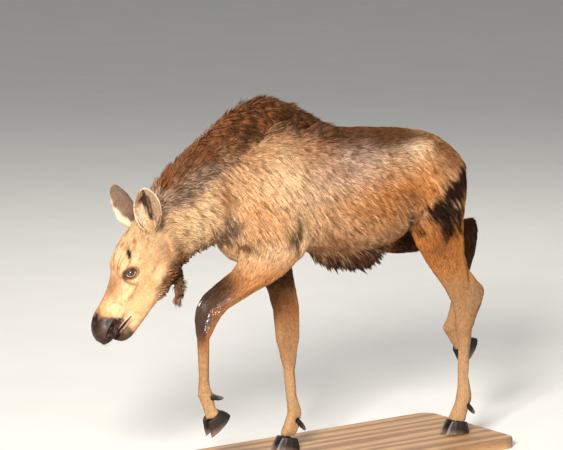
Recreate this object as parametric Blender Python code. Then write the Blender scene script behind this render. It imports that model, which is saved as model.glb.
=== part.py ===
"""A yearling moose, life size: it wades with its head down to drink, on a plain display base.

Metres, +Z up. The animal faces -X and its left side faces -Y. While it is being built the
ground under its hooves is z = 0 and x runs back along the spine. At the end everything is
moved so that the origin is the bottom centre of the whole model's box, under the base.

The flesh is modelled as overlapping closed lofts, one for each mass of the body. They are
fused by a voxel remesh, smoothed, thinned to few triangles and then parted with thin cuts
into the parts that a person would name. Ears, eyes, claws and the base are closed solids of
their own, set into it.
"""

import math

import bmesh
import bpy
import numpy as np
from mathutils import Matrix, Vector
from mathutils.bvhtree import BVHTree

# Driving dimensions, in metres.
GAP = 0.0003  # clearance between solids that meet
VOXEL = 0.006  # grid of the remesh that fuses the flesh
BODY_TRIANGLES = 4300  # of the flesh but the face, after thinning
FACE_TRIANGLES = 1900  # of the face, after thinning
BODY_SHARE = 0.47  # of the triangles that the cuts leave, kept
HEAD_SHARE = 0.72
CUT_EDGE = 0.001  # a vertex this near another piece belongs to a cut face
BASE_SIZE = (1.66, 0.58, 0.04)  # display base: length, width, thickness
BASE_CENTRE = (0.03, 0.0)
BASE_CORNER = 0.06
HEAD_ORIGIN = Vector((-0.739, 0.030, 1.009))  # the poll, between the ears
HEAD_TURN = 16.0  # degrees, the head's turn to the animal's right
HEAD_PITCH = 63.0  # degrees, nose down
EYE_RADIUS = 0.0185
EYE_PLACE = (0.198, 0.0690, -0.044)  # along the head, to its side, above the poll's level
CLAW_SPREAD = 0.021  # from a foot's midline to a claw's
DEWCLAW_RADIUS = 0.013


def head_frame():
    """From the head's own axes (towards the nose, to its left, towards its brow) to the model's."""
    turn = math.radians(HEAD_TURN)
    pitch = math.radians(HEAD_PITCH)
    forward = Vector((-math.cos(turn), math.sin(turn), 0))
    nose = forward * math.cos(pitch) + Vector((0, 0, -1)) * math.sin(pitch)
    brow = forward * math.sin(pitch) + Vector((0, 0, 1)) * math.cos(pitch)
    left = brow.cross(nose)
    axes = Matrix((nose, left, brow)).transposed().to_4x4()
    return Matrix.Translation(HEAD_ORIGIN) @ axes


BODY = Matrix.Identity(4)
HEAD = head_frame()


# Lofts. A station is (one edge's x and z, the other edge's x and z, half width, y): its ring is
# an oval that spans the two edge points and stands out by the half width on each side.

TRUNK = [
    (-0.398, 0.990, -0.388, 0.915, 0.040, 0),
    (-0.375, 1.090, -0.365, 0.840, 0.090, 0),
    (-0.330, 1.200, -0.320, 0.795, 0.122, 0),
    (-0.250, 1.290, -0.250, 0.776, 0.145, 0),
    (-0.120, 1.325, -0.130, 0.784, 0.168, 0),
    (0.020, 1.305, 0.000, 0.785, 0.188, 0),
    (0.160, 1.275, 0.130, 0.745, 0.205, 0),
    (0.310, 1.262, 0.260, 0.728, 0.212, 0),
    (0.440, 1.247, 0.375, 0.768, 0.202, 0),
    (0.550, 1.230, 0.475, 0.840, 0.186, 0),
    (0.640, 1.203, 0.595, 0.890, 0.170, 0),
    (0.705, 1.155, 0.670, 0.905, 0.140, 0),
    (0.745, 1.090, 0.715, 0.950, 0.085, 0),
    (0.755, 1.050, 0.735, 0.990, 0.040, 0),
]
FRINGE = [
    (-0.090, 0.830, -0.060, 0.800, 0.030, 0),
    (0.020, 0.830, 0.020, 0.776, 0.060, 0),
    (0.120, 0.800, 0.116, 0.726, 0.090, 0),
    (0.225, 0.780, 0.225, 0.708, 0.100, 0),
    (0.300, 0.790, 0.300, 0.712, 0.095, 0),
    (0.370, 0.820, 0.372, 0.744, 0.075, 0),
    (0.440, 0.860, 0.440, 0.802, 0.050, 0),
    (0.490, 0.890, 0.490, 0.850, 0.025, 0),
]
WITHERS = [
    (-0.665, 1.120, -0.610, 1.040, 0.016, 0.024),
    (-0.600, 1.190, -0.540, 1.060, 0.026, 0.016),
    (-0.520, 1.258, -0.460, 1.100, 0.034, 0.008),
    (-0.400, 1.350, -0.360, 1.130, 0.044, 0),
    (-0.270, 1.415, -0.250, 1.150, 0.056, 0),
    (-0.170, 1.425, -0.170, 1.150, 0.064, 0),
    (-0.080, 1.398, -0.080, 1.150, 0.066, 0),
    (0.010, 1.345, 0.010, 1.150, 0.066, 0),
    (0.100, 1.292, 0.090, 1.150, 0.062, 0),
    (0.240, 1.272, 0.220, 1.160, 0.050, 0),
]
NECK = [
    (-0.200, 1.310, -0.230, 0.900, 0.110, 0),
    (-0.360, 1.325, -0.345, 0.868, 0.116, 0),
    (-0.480, 1.262, -0.420, 0.868, 0.108, 0.006),
    (-0.585, 1.190, -0.495, 0.845, 0.098, 0.015),
    (-0.655, 1.110, -0.555, 0.812, 0.094, 0.016),
    (-0.705, 1.025, -0.600, 0.800, 0.088, 0.012),
]
SKULL = [
    (-0.036, -0.050, -0.024, -0.120, 0.038, 0),
    (-0.015, -0.020, -0.002, -0.150, 0.060, 0),
    (0.030, 0.002, 0.034, -0.180, 0.076, 0),
    (0.085, 0.016, 0.090, -0.195, 0.084, 0),
    (0.140, 0.022, 0.140, -0.190, 0.086, 0),
    (0.195, 0.012, 0.190, -0.180, 0.079, 0),
    (0.245, -0.004, 0.240, -0.165, 0.064, 0),
    (0.300, -0.014, 0.295, -0.150, 0.053, 0),
    (0.350, -0.014, 0.345, -0.140, 0.051, 0),
    (0.400, -0.010, 0.395, -0.132, 0.055, 0),
    (0.440, -0.018, 0.435, -0.126, 0.057, 0),
    (0.472, -0.038, 0.468, -0.118, 0.050, 0),
    (0.492, -0.066, 0.488, -0.104, 0.028, 0),
]
CHEEK = [
    (0.030, -0.060, 0.060, -0.190, 0.040, 0),
    (0.060, -0.040, 0.084, -0.222, 0.064, 0),
    (0.110, -0.030, 0.125, -0.240, 0.074, 0),
    (0.170, -0.040, 0.180, -0.235, 0.074, 0),
    (0.230, -0.055, 0.240, -0.222, 0.062, 0),
    (0.290, -0.070, 0.296, -0.209, 0.051, 0),
    (0.330, -0.085, 0.334, -0.201, 0.046, 0),
    (0.352, -0.100, 0.354, -0.190, 0.036, 0),
]
JAW = [
    (0.250, -0.110, 0.260, -0.214, 0.046, 0),
    (0.320, -0.100, 0.320, -0.204, 0.048, 0),
    (0.380, -0.095, 0.380, -0.193, 0.046, 0),
    (0.420, -0.100, 0.416, -0.184, 0.044, 0),
    (0.445, -0.106, 0.438, -0.172, 0.036, 0),
    (0.460, -0.112, 0.452, -0.160, 0.022, 0),
]
SHOULDER = [
    (-0.180, 1.330, -0.080, 1.320, 0.018, 0.050),
    (-0.270, 1.250, -0.050, 1.230, 0.036, 0.088),
    (-0.330, 1.130, -0.030, 1.110, 0.046, 0.112),
    (-0.366, 1.000, -0.018, 0.980, 0.052, 0.122),
    (-0.362, 0.910, -0.040, 0.880, 0.054, 0.120),
    (-0.320, 0.850, -0.100, 0.820, 0.036, 0.110),
]
LEFT_FORE = [
    (-0.330, 1.060, -0.100, 1.000, 0.030, -0.112),
    (-0.372, 0.970, -0.055, 0.900, 0.052, -0.122),
    (-0.370, 0.870, -0.070, 0.800, 0.056, -0.122),
    (-0.388, 0.806, -0.200, 0.728, 0.052, -0.120),
    (-0.430, 0.776, -0.290, 0.696, 0.047, -0.119),
    (-0.488, 0.742, -0.366, 0.664, 0.043, -0.117),
    (-0.535, 0.710, -0.420, 0.640, 0.041, -0.115),
    (-0.562, 0.672, -0.455, 0.614, 0.041, -0.113),
    (-0.573, 0.630, -0.470, 0.590, 0.039, -0.111),
    (-0.570, 0.585, -0.490, 0.566, 0.034, -0.110),
    (-0.560, 0.535, -0.506, 0.530, 0.024, -0.108),
    (-0.554, 0.450, -0.507, 0.450, 0.021, -0.106),
    (-0.551, 0.360, -0.503, 0.358, 0.023, -0.104),
    (-0.553, 0.318, -0.486, 0.314, 0.030, -0.104),
    (-0.532, 0.268, -0.484, 0.284, 0.028, -0.104),
    (-0.516, 0.222, -0.466, 0.254, 0.034, -0.104),
    (-0.498, 0.192, -0.446, 0.236, 0.038, -0.104),
]
RIGHT_FORE = [
    (-0.310, 1.050, -0.090, 1.010, 0.030, 0.112),
    (-0.340, 0.960, -0.030, 0.900, 0.052, 0.122),
    (-0.270, 0.850, 0.022, 0.800, 0.056, 0.116),
    (-0.165, 0.750, 0.036, 0.715, 0.048, 0.102),
    (-0.108, 0.660, 0.046, 0.640, 0.043, 0.091),
    (-0.074, 0.570, 0.056, 0.560, 0.039, 0.082),
    (-0.064, 0.485, 0.056, 0.480, 0.040, 0.078),
    (-0.057, 0.430, 0.050, 0.430, 0.038, 0.076),
    (-0.040, 0.375, 0.038, 0.375, 0.029, 0.075),
    (-0.022, 0.310, 0.030, 0.310, 0.022, 0.075),
    (-0.010, 0.210, 0.040, 0.210, 0.022, 0.075),
    (-0.002, 0.150, 0.060, 0.140, 0.030, 0.075),
    (-0.014, 0.110, 0.048, 0.096, 0.029, 0.075),
    (-0.036, 0.070, 0.034, 0.054, 0.036, 0.075),
    (-0.052, 0.030, 0.020, 0.014, 0.040, 0.075),
]
LEFT_HIND = [
    (0.560, 1.190, 0.670, 1.170, 0.030, -0.075),
    (0.490, 1.100, 0.725, 1.100, 0.058, -0.098),
    (0.448, 1.000, 0.730, 1.000, 0.070, -0.110),
    (0.432, 0.920, 0.716, 0.920, 0.070, -0.116),
    (0.444, 0.845, 0.706, 0.860, 0.062, -0.118),
    (0.475, 0.785, 0.714, 0.795, 0.052, -0.116),
    (0.520, 0.720, 0.722, 0.740, 0.044, -0.112),
    (0.565, 0.668, 0.744, 0.682, 0.039, -0.106),
    (0.612, 0.612, 0.788, 0.624, 0.036, -0.100),
    (0.650, 0.560, 0.832, 0.584, 0.036, -0.096),
    (0.676, 0.515, 0.838, 0.546, 0.036, -0.093),
    (0.690, 0.468, 0.816, 0.492, 0.034, -0.091),
    (0.702, 0.420, 0.786, 0.432, 0.028, -0.089),
    (0.712, 0.350, 0.768, 0.350, 0.023, -0.088),
    (0.714, 0.220, 0.766, 0.220, 0.022, -0.086),
    (0.712, 0.152, 0.778, 0.140, 0.030, -0.085),
    (0.698, 0.110, 0.762, 0.096, 0.029, -0.085),
    (0.676, 0.070, 0.746, 0.054, 0.036, -0.085),
    (0.660, 0.030, 0.732, 0.014, 0.040, -0.085),
]
RIGHT_HIND = [
    (0.560, 1.190, 0.670, 1.170, 0.030, 0.075),
    (0.480, 1.100, 0.725, 1.090, 0.058, 0.096),
    (0.425, 1.000, 0.735, 0.985, 0.068, 0.108),
    (0.398, 0.900, 0.715, 0.905, 0.068, 0.114),
    (0.400, 0.800, 0.676, 0.868, 0.060, 0.114),
    (0.480, 0.722, 0.668, 0.846, 0.050, 0.110),
    (0.590, 0.704, 0.718, 0.830, 0.042, 0.106),
    (0.700, 0.706, 0.785, 0.822, 0.036, 0.103),
    (0.790, 0.710, 0.865, 0.826, 0.034, 0.101),
    (0.835, 0.698, 0.942, 0.822, 0.034, 0.100),
    (0.850, 0.660, 0.955, 0.752, 0.033, 0.099),
    (0.850, 0.615, 0.938, 0.670, 0.030, 0.098),
    (0.844, 0.575, 0.908, 0.605, 0.026, 0.097),
    (0.826, 0.500, 0.880, 0.514, 0.022, 0.096),
    (0.800, 0.420, 0.852, 0.430, 0.023, 0.095),
    (0.782, 0.378, 0.848, 0.394, 0.030, 0.095),
    (0.814, 0.334, 0.858, 0.368, 0.028, 0.095),
    (0.846, 0.286, 0.888, 0.338, 0.034, 0.095),
    (0.872, 0.262, 0.916, 0.320, 0.038, 0.095),
]
TAIL = [
    (0.690, 1.120, 0.716, 1.080, 0.020, 0),
    (0.756, 1.102, 0.750, 1.062, 0.024, 0),
    (0.790, 1.066, 0.764, 1.036, 0.025, 0),
    (0.802, 1.010, 0.776, 1.000, 0.021, 0),
    (0.800, 0.970, 0.784, 0.964, 0.010, 0),
]
BELL = [
    (0.085, -0.215, 0.135, -0.215, 0.018, 0),
    (0.110, -0.252, 0.160, -0.240, 0.018, 0),
    (0.155, -0.282, 0.192, -0.258, 0.015, 0),
    (0.196, -0.298, 0.218, -0.276, 0.009, 0),
    (0.222, -0.302, 0.232, -0.290, 0.004, 0),
]
# Bones and muscles that show: (frame, centre, radii), mirrored where y is not zero.
MASSES = [
    (HEAD, (0.176, 0.045, -0.022), (0.056, 0.036, 0.029)),
    (HEAD, (0.226, 0.044, -0.080), (0.085, 0.032, 0.024)),
    (HEAD, (0.070, 0.026, -0.185), (0.060, 0.044, 0.046)),
    (HEAD, (0.022, 0.060, -0.050), (0.034, 0.028, 0.038)),
    (HEAD, (0.436, 0.036, -0.080), (0.046, 0.027, 0.042)),
    (HEAD, (0.120, 0.036, -0.160), (0.075, 0.044, 0.066)),
    (BODY, (0.500, 0.095, 1.160), (0.100, 0.070, 0.056)),
    (BODY, (0.600, 0.105, 1.000), (0.110, 0.075, 0.120)),
    (BODY, (-0.110, 0.130, 0.930), (0.085, 0.040, 0.110)),
    (BODY, (-0.345, 0.085, 0.950), (0.048, 0.050, 0.060)),
    (BODY, (-0.585, 0.0, 0.868), (0.060, 0.078, 0.052)),
]

# Hollows: (frame, centre, radii, depth) of a soft dent pressed in sideways on both sides.
HOLLOWS = [
    (HEAD, (0.418, 0.058, -0.086), (0.026, 0.030, 0.015), 0.012),
    (HEAD, (0.246, 0.070, -0.046), (0.036, 0.030, 0.020), 0.006),
    (HEAD, (0.105, 0.080, -0.030), (0.045, 0.040, 0.035), 0.007),
    (BODY, (0.455, 0.200, 1.040), (0.070, 0.080, 0.110), 0.010),
    (BODY, (0.745, 0.115, 0.640), (0.022, 0.050, 0.075), 0.011),
]

# Thin planar cuts: piece cut, name of the part beyond the plane, a point on it, its normal.
CUTS = [
    ("trunk", "neck", (-0.455, 0.0, 1.090), (-0.96, 0.0, -0.26)),
    ("neck", "head", HEAD @ Vector((0.010, 0.0, -0.120)), HEAD.to_3x3() @ Vector((1.0, 0.0, 0.45))),
    ("head", "bell", HEAD @ Vector((0.172, 0.0, -0.269)), HEAD.to_3x3() @ Vector((0.85, 0.0, -0.5)),
     (0.052, 0.08)),
    ("trunk", "rump", (0.440, 0.0, 1.000), (1.0, 0.0, 0.12)),
    ("trunk", "chest", (0.030, 0.0, 1.000), (-1.0, 0.0, 0.0)),
    ("rump", "tail", (0.762, 0.0, 1.060), (1.0, 0.0, 0.0), (0.16, 0.10)),
    ("foreleg_left", "foreleg_left_cannon", (-0.528, -0.11, 0.575), (0.15, 0.0, -1.0)),
    ("foreleg_left_cannon", "foreleg_left_pastern", (-0.525, -0.104, 0.352), (0.1, 0.0, -1.0)),
    ("foreleg_right", "foreleg_right_cannon", (0.0, 0.076, 0.388), (0.12, 0.0, -1.0)),
    ("foreleg_right_cannon", "foreleg_right_pastern", (0.02, 0.075, 0.172), (-0.1, 0.0, -1.0)),
    ("hindleg_left", "hindleg_left_gaskin", (0.590, -0.112, 0.780), (0.25, 0.0, -1.0)),
    ("hindleg_left_gaskin", "hindleg_left_cannon", (0.745, -0.092, 0.450), (0.0, 0.0, -1.0)),
    ("hindleg_left_cannon", "hindleg_left_pastern", (0.74, -0.085, 0.172), (-0.1, 0.0, -1.0)),
    ("hindleg_right", "hindleg_right_gaskin", (0.610, 0.110, 0.780), (1.0, 0.0, -0.20)),
    ("hindleg_right_gaskin", "hindleg_right_cannon", (0.885, 0.098, 0.620), (0.2, 0.0, -1.0)),
    ("hindleg_right_cannon", "hindleg_right_pastern", (0.82, 0.095, 0.402), (0.1, 0.0, -1.0)),
]
# Feet: the coronet's centre, and how far the toe points below the level, in degrees.
FEET = {
    "foreleg_left": ((-0.491, -0.104, 0.236), 44.0),
    "foreleg_right": ((-0.008, 0.075, 0.052), 0.0),
    "hindleg_left": ((0.706, -0.085, 0.052), 0.0),
    "hindleg_right": ((0.866, 0.095, 0.312), 60.0),
}
# The mouth's opening in side view, in the head's own axes: corner, upper lip, lower lip.
MOUTH = [(0.350, -0.1365), (0.420, -0.1180), (0.530, -0.0900), (0.530, -0.1180), (0.420, -0.1290)]
# Ears: sign of the side, base, tip and the way the cup opens, in the head's own axes, and width.
EARS = {
    "ear_left": (1, (0.022, 0.064, -0.048), (-0.114, 0.154, 0.084), (0.46, 0.85, -0.06), 0.108),
    "ear_right": (-1, (0.036, -0.062, -0.030), (-0.074, -0.150, 0.084), (0.75, -0.65, 0.0), 0.104),
}
# Leg roots: side profile of the region that belongs to the leg, and where it starts sideways.
LEG_ROOTS = {
    "foreleg_left": ([(-0.66, 0.10), (0.02, 0.10), (0.02, 0.800), (-0.075, 0.880), (-0.340, 0.880),
                      (-0.400, 0.850), (-0.440, 0.812), (-0.530, 0.758), (-0.66, 0.640)],
                     -0.052, -0.35),
    "foreleg_right": ([(-0.36, 0.00), (0.15, 0.00), (0.075, 0.770), (-0.010, 0.880), (-0.290, 0.880),
                       (-0.36, 0.830)], 0.052, 0.35),
    "hindleg_left": ([(0.400, 0.000), (0.95, 0.000), (0.95, 0.900), (0.720, 0.985), (0.560, 0.985),
                      (0.445, 0.900), (0.425, 0.800)], -0.036, -0.35),
    "hindleg_right": ([(0.380, 0.200), (1.10, 0.200), (1.10, 0.880), (0.720, 0.975), (0.540, 0.975),
                       (0.405, 0.890), (0.372, 0.780)], 0.036, 0.35),
}


def along(stations, steps):
    """The stations with rings between them, on a Catmull-Rom curve through every value."""
    rows = np.array(stations, float)
    padded = np.vstack([2 * rows[0] - rows[1], rows, 2 * rows[-1] - rows[-2]])
    out = []
    for i in range(1, len(rows)):
        before, start, end, after = padded[i - 1 : i + 3]
        for step in range(steps):
            t = step / steps
            line = 2 * start + (end - before) * t
            bend = (2 * before - 5 * start + 4 * end - after) * t**2
            twist = (3 * start - before - 3 * end + after) * t**3
            out.append(0.5 * (line + bend + twist))
    out.append(rows[-1])
    return out


def loft(mesh, stations, frame=BODY, egg=0.0, steps=4, around=20, mirror=False):
    """Adds a closed body through the stations to a bmesh. A positive egg narrows the first edge."""
    rings = []
    sign = -1 if mirror else 1
    for x1, z1, x2, z2, width, y in along(stations, steps):
        ring = []
        for i in range(around):
            turn = 2 * math.pi * i / around
            share = 0.5 * (1 + math.cos(turn))
            side = math.sin(turn) * width * (1 - egg * math.cos(turn))
            point = Vector((x2 + (x1 - x2) * share, sign * (y + side), z2 + (z1 - z2) * share))
            ring.append(mesh.verts.new(frame @ point))
        rings.append(ring)
    for first, second in zip(rings, rings[1:]):
        for i in range(around):
            j = (i + 1) % around
            mesh.faces.new((first[i], first[j], second[j], second[i]))
    mesh.faces.new(rings[0][::-1])
    mesh.faces.new(rings[-1])


def object_from(mesh, name):
    """Links a bmesh to the scene as an object with outward faces, and frees it."""
    bmesh.ops.recalc_face_normals(mesh, faces=mesh.faces)
    data = bpy.data.meshes.new(name)
    mesh.to_mesh(data)
    mesh.free()
    made = bpy.data.objects.new(name, data)
    bpy.context.scene.collection.objects.link(made)
    return made


def applied(thing):
    """Bakes an object's modifiers into its mesh."""
    bpy.context.view_layer.update()
    graph = bpy.context.evaluated_depsgraph_get()
    data = bpy.data.meshes.new_from_object(thing.evaluated_get(graph))
    thing.modifiers.clear()
    thing.data = data
    return thing


def combine(thing, other, operation):
    """One boolean operation, baked in; the other object is used up."""
    step = thing.modifiers.new("step", "BOOLEAN")
    step.operation = operation
    step.solver = "EXACT"
    step.object = other
    applied(thing)
    bpy.data.objects.remove(other)
    return thing


def copied(thing, name):
    """A second object with its own copy of the mesh."""
    made = bpy.data.objects.new(name, thing.data.copy())
    bpy.context.scene.collection.objects.link(made)
    return made


def loose_parts(thing):
    """The connected parts of a mesh as point arrays with their vertex indices, largest first."""
    mesh = bmesh.new()
    mesh.from_mesh(thing.data)
    mesh.verts.ensure_lookup_table()
    seen = set()
    parts = []
    for vert in mesh.verts:
        if vert.index in seen:
            continue
        stack = [vert]
        seen.add(vert.index)
        group = []
        while stack:
            here = stack.pop()
            group.append(here.index)
            for edge in here.link_edges:
                there = edge.other_vert(here)
                if there.index not in seen:
                    seen.add(there.index)
                    stack.append(there)
        parts.append(group)
    mesh.free()
    return sorted(parts, key=len, reverse=True)


def only(thing, keep):
    """Deletes every vertex of an object but those to keep."""
    mesh = bmesh.new()
    mesh.from_mesh(thing.data)
    mesh.verts.ensure_lookup_table()
    kept = set(keep)
    bmesh.ops.delete(mesh, geom=[v for v in mesh.verts if v.index not in kept], context="VERTS")
    mesh.to_mesh(thing.data)
    mesh.free()
    return thing


def cut(pieces, name, beyond, place, normal, reach=(1.5, 1.5)):
    """Parts a piece with a thin plate; what lies beyond it along the normal gets a new name."""
    place = Vector(place)
    normal = Vector(normal).normalized()
    across = normal.cross(Vector((0, 1, 0))).normalized()
    axes = Matrix((across, normal.cross(across), normal)).transposed().to_4x4()
    mesh = bmesh.new()
    matrix = Matrix.Translation(place) @ axes @ Matrix.Diagonal((*reach, GAP, 1))
    bmesh.ops.create_cube(mesh, size=1, matrix=matrix)
    piece = combine(pieces[name], object_from(mesh, "plate"), "DIFFERENCE")
    points = np.array([v.co for v in piece.data.vertices])
    parts = sorted(loose_parts(piece), key=lambda part: (points[part] - place).mean(0) @ np.array(normal))
    if len(parts) != 2:
        raise RuntimeError(f"{beyond}: the cut left {len(parts)} parts")
    pieces[beyond] = only(copied(piece, beyond), parts[1])
    only(piece, parts[0])


def prism(profile, near, far, grow):
    """A closed solid that stands on a side profile, from one distance sideways to another."""
    mesh = bmesh.new()
    rings = [[mesh.verts.new((x, y, z)) for x, z in profile] for y in (near, far)]
    mesh.faces.new(rings[0])
    mesh.faces.new(rings[1])
    count = len(profile)
    for i in range(count):
        j = (i + 1) % count
        mesh.faces.new((rings[0][i], rings[0][j], rings[1][j], rings[1][i]))
    bmesh.ops.recalc_face_normals(mesh, faces=mesh.faces)
    mesh.normal_update()
    for vert in mesh.verts:
        vert.co += vert.normal * vert.calc_shell_factor() * grow
    return object_from(mesh, "region")


def take(pieces, name, beyond, region, larger):
    """Parts a piece with a closed region: what lies inside gets a new name."""
    inside = combine(copied(pieces[name], beyond), region, "INTERSECT")
    combine(pieces[name], larger, "DIFFERENCE")
    for thing in (inside, pieces[name]):
        only(thing, loose_parts(thing)[0])
    pieces[beyond] = inside


def ear(side, base, tip, opening, width):
    """One ear: a leaf-shaped cup, rolled into a tube at its base, in the head's own axes."""
    base = Vector(base)
    tip = Vector(tip)
    axis = (tip - base).normalized()
    opening = Vector(opening)
    opening = (opening - axis * opening.dot(axis)).normalized()
    across = axis.cross(opening) * side
    length = (tip - base).length
    share = np.array([0.0, 0.14, 0.28, 0.42, 0.56, 0.70, 0.83, 0.93, 1.0])
    half = np.interp(share, [0, 0.15, 0.3, 0.45, 0.58, 0.72, 0.86, 0.95, 1],
                     [0.50, 0.70, 0.88, 0.99, 1.0, 0.91, 0.69, 0.45, 0.16]) * width / 2
    curl = np.radians(np.interp(share, [0, 0.2, 0.4, 0.7, 1], [160, 130, 92, 68, 60]))
    wall = np.interp(share, [0, 0.3, 0.8, 1], [0.012, 0.009, 0.007, 0.006])
    turns = 8
    mesh = bmesh.new()
    outer, inner = [], []
    for s, reach, bend, thick in zip(share, half, curl, wall):
        radius = reach / math.sin(min(bend, math.pi / 2))
        bow = 0.012 * math.sin(math.pi * s)
        centre = base + axis * (length * s) + opening * (radius - 0.030 * (1 - s) ** 0.7 - bow)
        row_out, row_in = [], []
        for k in range(turns):
            turn = bend * (2 * k / (turns - 1) - 1)
            edge = 1 - 0.55 * abs(2 * k / (turns - 1) - 1) ** 3
            direction = across * math.sin(turn) - opening * math.cos(turn)
            within = max(radius - thick * edge, radius * 0.3)
            row_out.append(mesh.verts.new(HEAD @ (centre + direction * radius)))
            row_in.append(mesh.verts.new(HEAD @ (centre + direction * within)))
        outer.append(row_out)
        inner.append(row_in)
    for r in range(len(share) - 1):
        for k in range(turns - 1):
            mesh.faces.new((outer[r][k], outer[r][k + 1], outer[r + 1][k + 1], outer[r + 1][k]))
            mesh.faces.new((inner[r][k], inner[r + 1][k], inner[r + 1][k + 1], inner[r][k + 1]))
        for k in (0, turns - 1):
            mesh.faces.new((outer[r][k], outer[r + 1][k], inner[r + 1][k], inner[r][k]))
    for k in range(turns - 1):
        mesh.faces.new((outer[0][k], inner[0][k], inner[0][k + 1], outer[0][k + 1]))
        mesh.faces.new((outer[-1][k], outer[-1][k + 1], inner[-1][k + 1], inner[-1][k]))
    bmesh.ops.triangulate(mesh, faces=mesh.faces)
    return object_from(mesh, "ear")


def raw_flesh():
    """All the masses of the body, still as separate overlapping closed lofts."""
    mesh = bmesh.new()
    loft(mesh, TRUNK, egg=0.08, around=28)
    loft(mesh, FRINGE, egg=-0.3)
    loft(mesh, WITHERS, egg=0.45)
    loft(mesh, NECK, egg=0.12)
    loft(mesh, SKULL, HEAD)
    loft(mesh, CHEEK, HEAD, egg=0.12)
    loft(mesh, JAW, HEAD, egg=0.15)
    loft(mesh, BELL, HEAD)
    loft(mesh, TAIL)
    loft(mesh, SHOULDER)
    loft(mesh, SHOULDER, mirror=True)
    for leg in (LEFT_FORE, RIGHT_FORE, LEFT_HIND, RIGHT_HIND):
        loft(mesh, leg, around=18)
    for frame, (x, y, z), radii in MASSES:
        for sign in (-1, 1) if y else (1,):
            matrix = frame @ Matrix.Translation((x, y * sign, z)) @ Matrix.Diagonal((*radii, 1))
            bmesh.ops.create_icosphere(mesh, subdivisions=3, radius=1, matrix=matrix)
    return object_from(mesh, "trunk")


def fused_flesh():
    """One closed skin round all the masses: soft on the body, crisper on head and feet."""
    flesh = raw_flesh()
    remesh = flesh.modifiers.new("fuse", "REMESH")
    remesh.mode = "VOXEL"
    remesh.voxel_size = VOXEL
    applied(flesh)
    points = np.array([v.co for v in flesh.data.vertices])
    local = (points - np.array(HEAD_ORIGIN)) @ np.array(HEAD.to_3x3())
    head = np.clip((local[:, 0] + 0.05) / 0.08, 0, 1) * (points[:, 0] < -0.55) * (points[:, 2] > 0.5)
    low = np.clip((0.80 - points[:, 2]) / 0.10, 0, 1) * (points[:, 1] ** 2 > 0.03**2)
    body = 1 - np.maximum(head, low)
    for name, weights, turns in (("body", body, 30), ("all", np.ones(len(points)), 7)):
        group = flesh.vertex_groups.new(name=name)
        for index, weight in enumerate(weights):
            group.add([index], float(weight), "REPLACE")
        smooth = flesh.modifiers.new(name, "SMOOTH")
        smooth.vertex_group = name
        smooth.factor = 0.5
        smooth.iterations = turns
    applied(flesh)
    flesh.vertex_groups.clear()
    for frame, centre, radii, depth in HOLLOWS:
        press(flesh, frame, centre, radii, depth)
    for face, left in ((False, BODY_TRIANGLES), (True, FACE_TRIANGLES)):
        thin(flesh, face, left)
    return flesh


def press(flesh, frame, centre, radii, depth):
    """Presses a soft dent into both sides of the flesh, in the frame's own sideways direction."""
    points = np.array([v.co for v in flesh.data.vertices])
    origin = np.array(frame.translation)
    axes = np.array(frame.to_3x3())
    local = (points - origin) @ axes
    for side in (-1, 1):
        away = (local - np.array(centre) * (1, side, 1)) / np.array(radii)
        fade = np.clip(1 - (away**2).sum(1), 0, 1) ** 2
        local[:, 1] -= side * depth * fade
    flesh.data.vertices.foreach_set("co", (local @ axes.T + origin).ravel())


def decimate(thing, chosen, left):
    """Decimates only the chosen vertices' surroundings, until about left triangles are left of them."""
    group = thing.vertex_groups.new(name="thin")
    group.add([int(i) for i in np.flatnonzero(chosen)], 1.0, "REPLACE")
    total, within = 0, 0
    for polygon in thing.data.polygons:
        total += len(polygon.vertices) - 2
        within += (len(polygon.vertices) - 2) * bool(chosen[polygon.vertices[0]])
    step = thing.modifiers.new("thin", "DECIMATE")
    step.ratio = (total - within + left(within)) / total
    step.vertex_group = "thin"
    applied(thing)
    thing.vertex_groups.clear()


def thin(flesh, face, left):
    """Decimates the face alone, or all but the face, until about so many triangles are left of it."""
    points = np.array([v.co for v in flesh.data.vertices])
    local = (points - np.array(HEAD_ORIGIN)) @ np.array(HEAD.to_3x3())
    is_face = (local[:, 0] > -0.03) & (points[:, 0] < -0.55) & (points[:, 2] > 0.5)
    decimate(flesh, is_face == face, lambda within: left)


def lighten(pieces):
    """Thins each piece but for its cut faces, whose shape stays so that no piece reaches into another."""
    trees = {}
    for name, piece in pieces.items():
        faces = [tuple(polygon.vertices) for polygon in piece.data.polygons]
        trees[name] = BVHTree.FromPolygons([v.co for v in piece.data.vertices], faces)
    for name, piece in pieces.items():
        others = [tree for other, tree in trees.items() if other != name]
        free = [all(t.find_nearest(v.co, CUT_EDGE)[0] is None for t in others) for v in piece.data.vertices]
        share = HEAD_SHARE if name == "head" else BODY_SHARE
        decimate(piece, np.array(free), lambda within, share=share: share * within)


def grown(thing, by):
    """Moves a mesh's surface outwards by a small distance."""
    mesh = bmesh.new()
    mesh.from_mesh(thing.data)
    mesh.normal_update()
    for vert in mesh.verts:
        vert.co += vert.normal * vert.calc_shell_factor() * by
    mesh.to_mesh(thing.data)
    mesh.free()
    return thing


def socket(pieces, host, name, thing):
    """Sets a solid into a piece, in a pocket of its own shape."""
    combine(pieces[host], grown(copied(thing, "pocket"), GAP), "DIFFERENCE")
    only(pieces[host], loose_parts(pieces[host])[0])
    pieces[name] = thing


def mouth():
    """The wedge between the lips, as a solid to take away from the head."""
    opening = prism(MOUTH, -0.1, 0.1, 0)
    opening.data.transform(HEAD)
    return opening


def eye(side):
    """An eyeball, its pole looking out of the side of the head."""
    mesh = bmesh.new()
    along_head, out, up = EYE_PLACE
    matrix = HEAD @ Matrix.Translation((along_head, out * side, up)) @ Matrix.Rotation(math.pi / 2, 4, "X")
    bmesh.ops.create_uvsphere(mesh, u_segments=12, v_segments=8, radius=EYE_RADIUS, matrix=matrix)
    return object_from(mesh, "eye")


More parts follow.
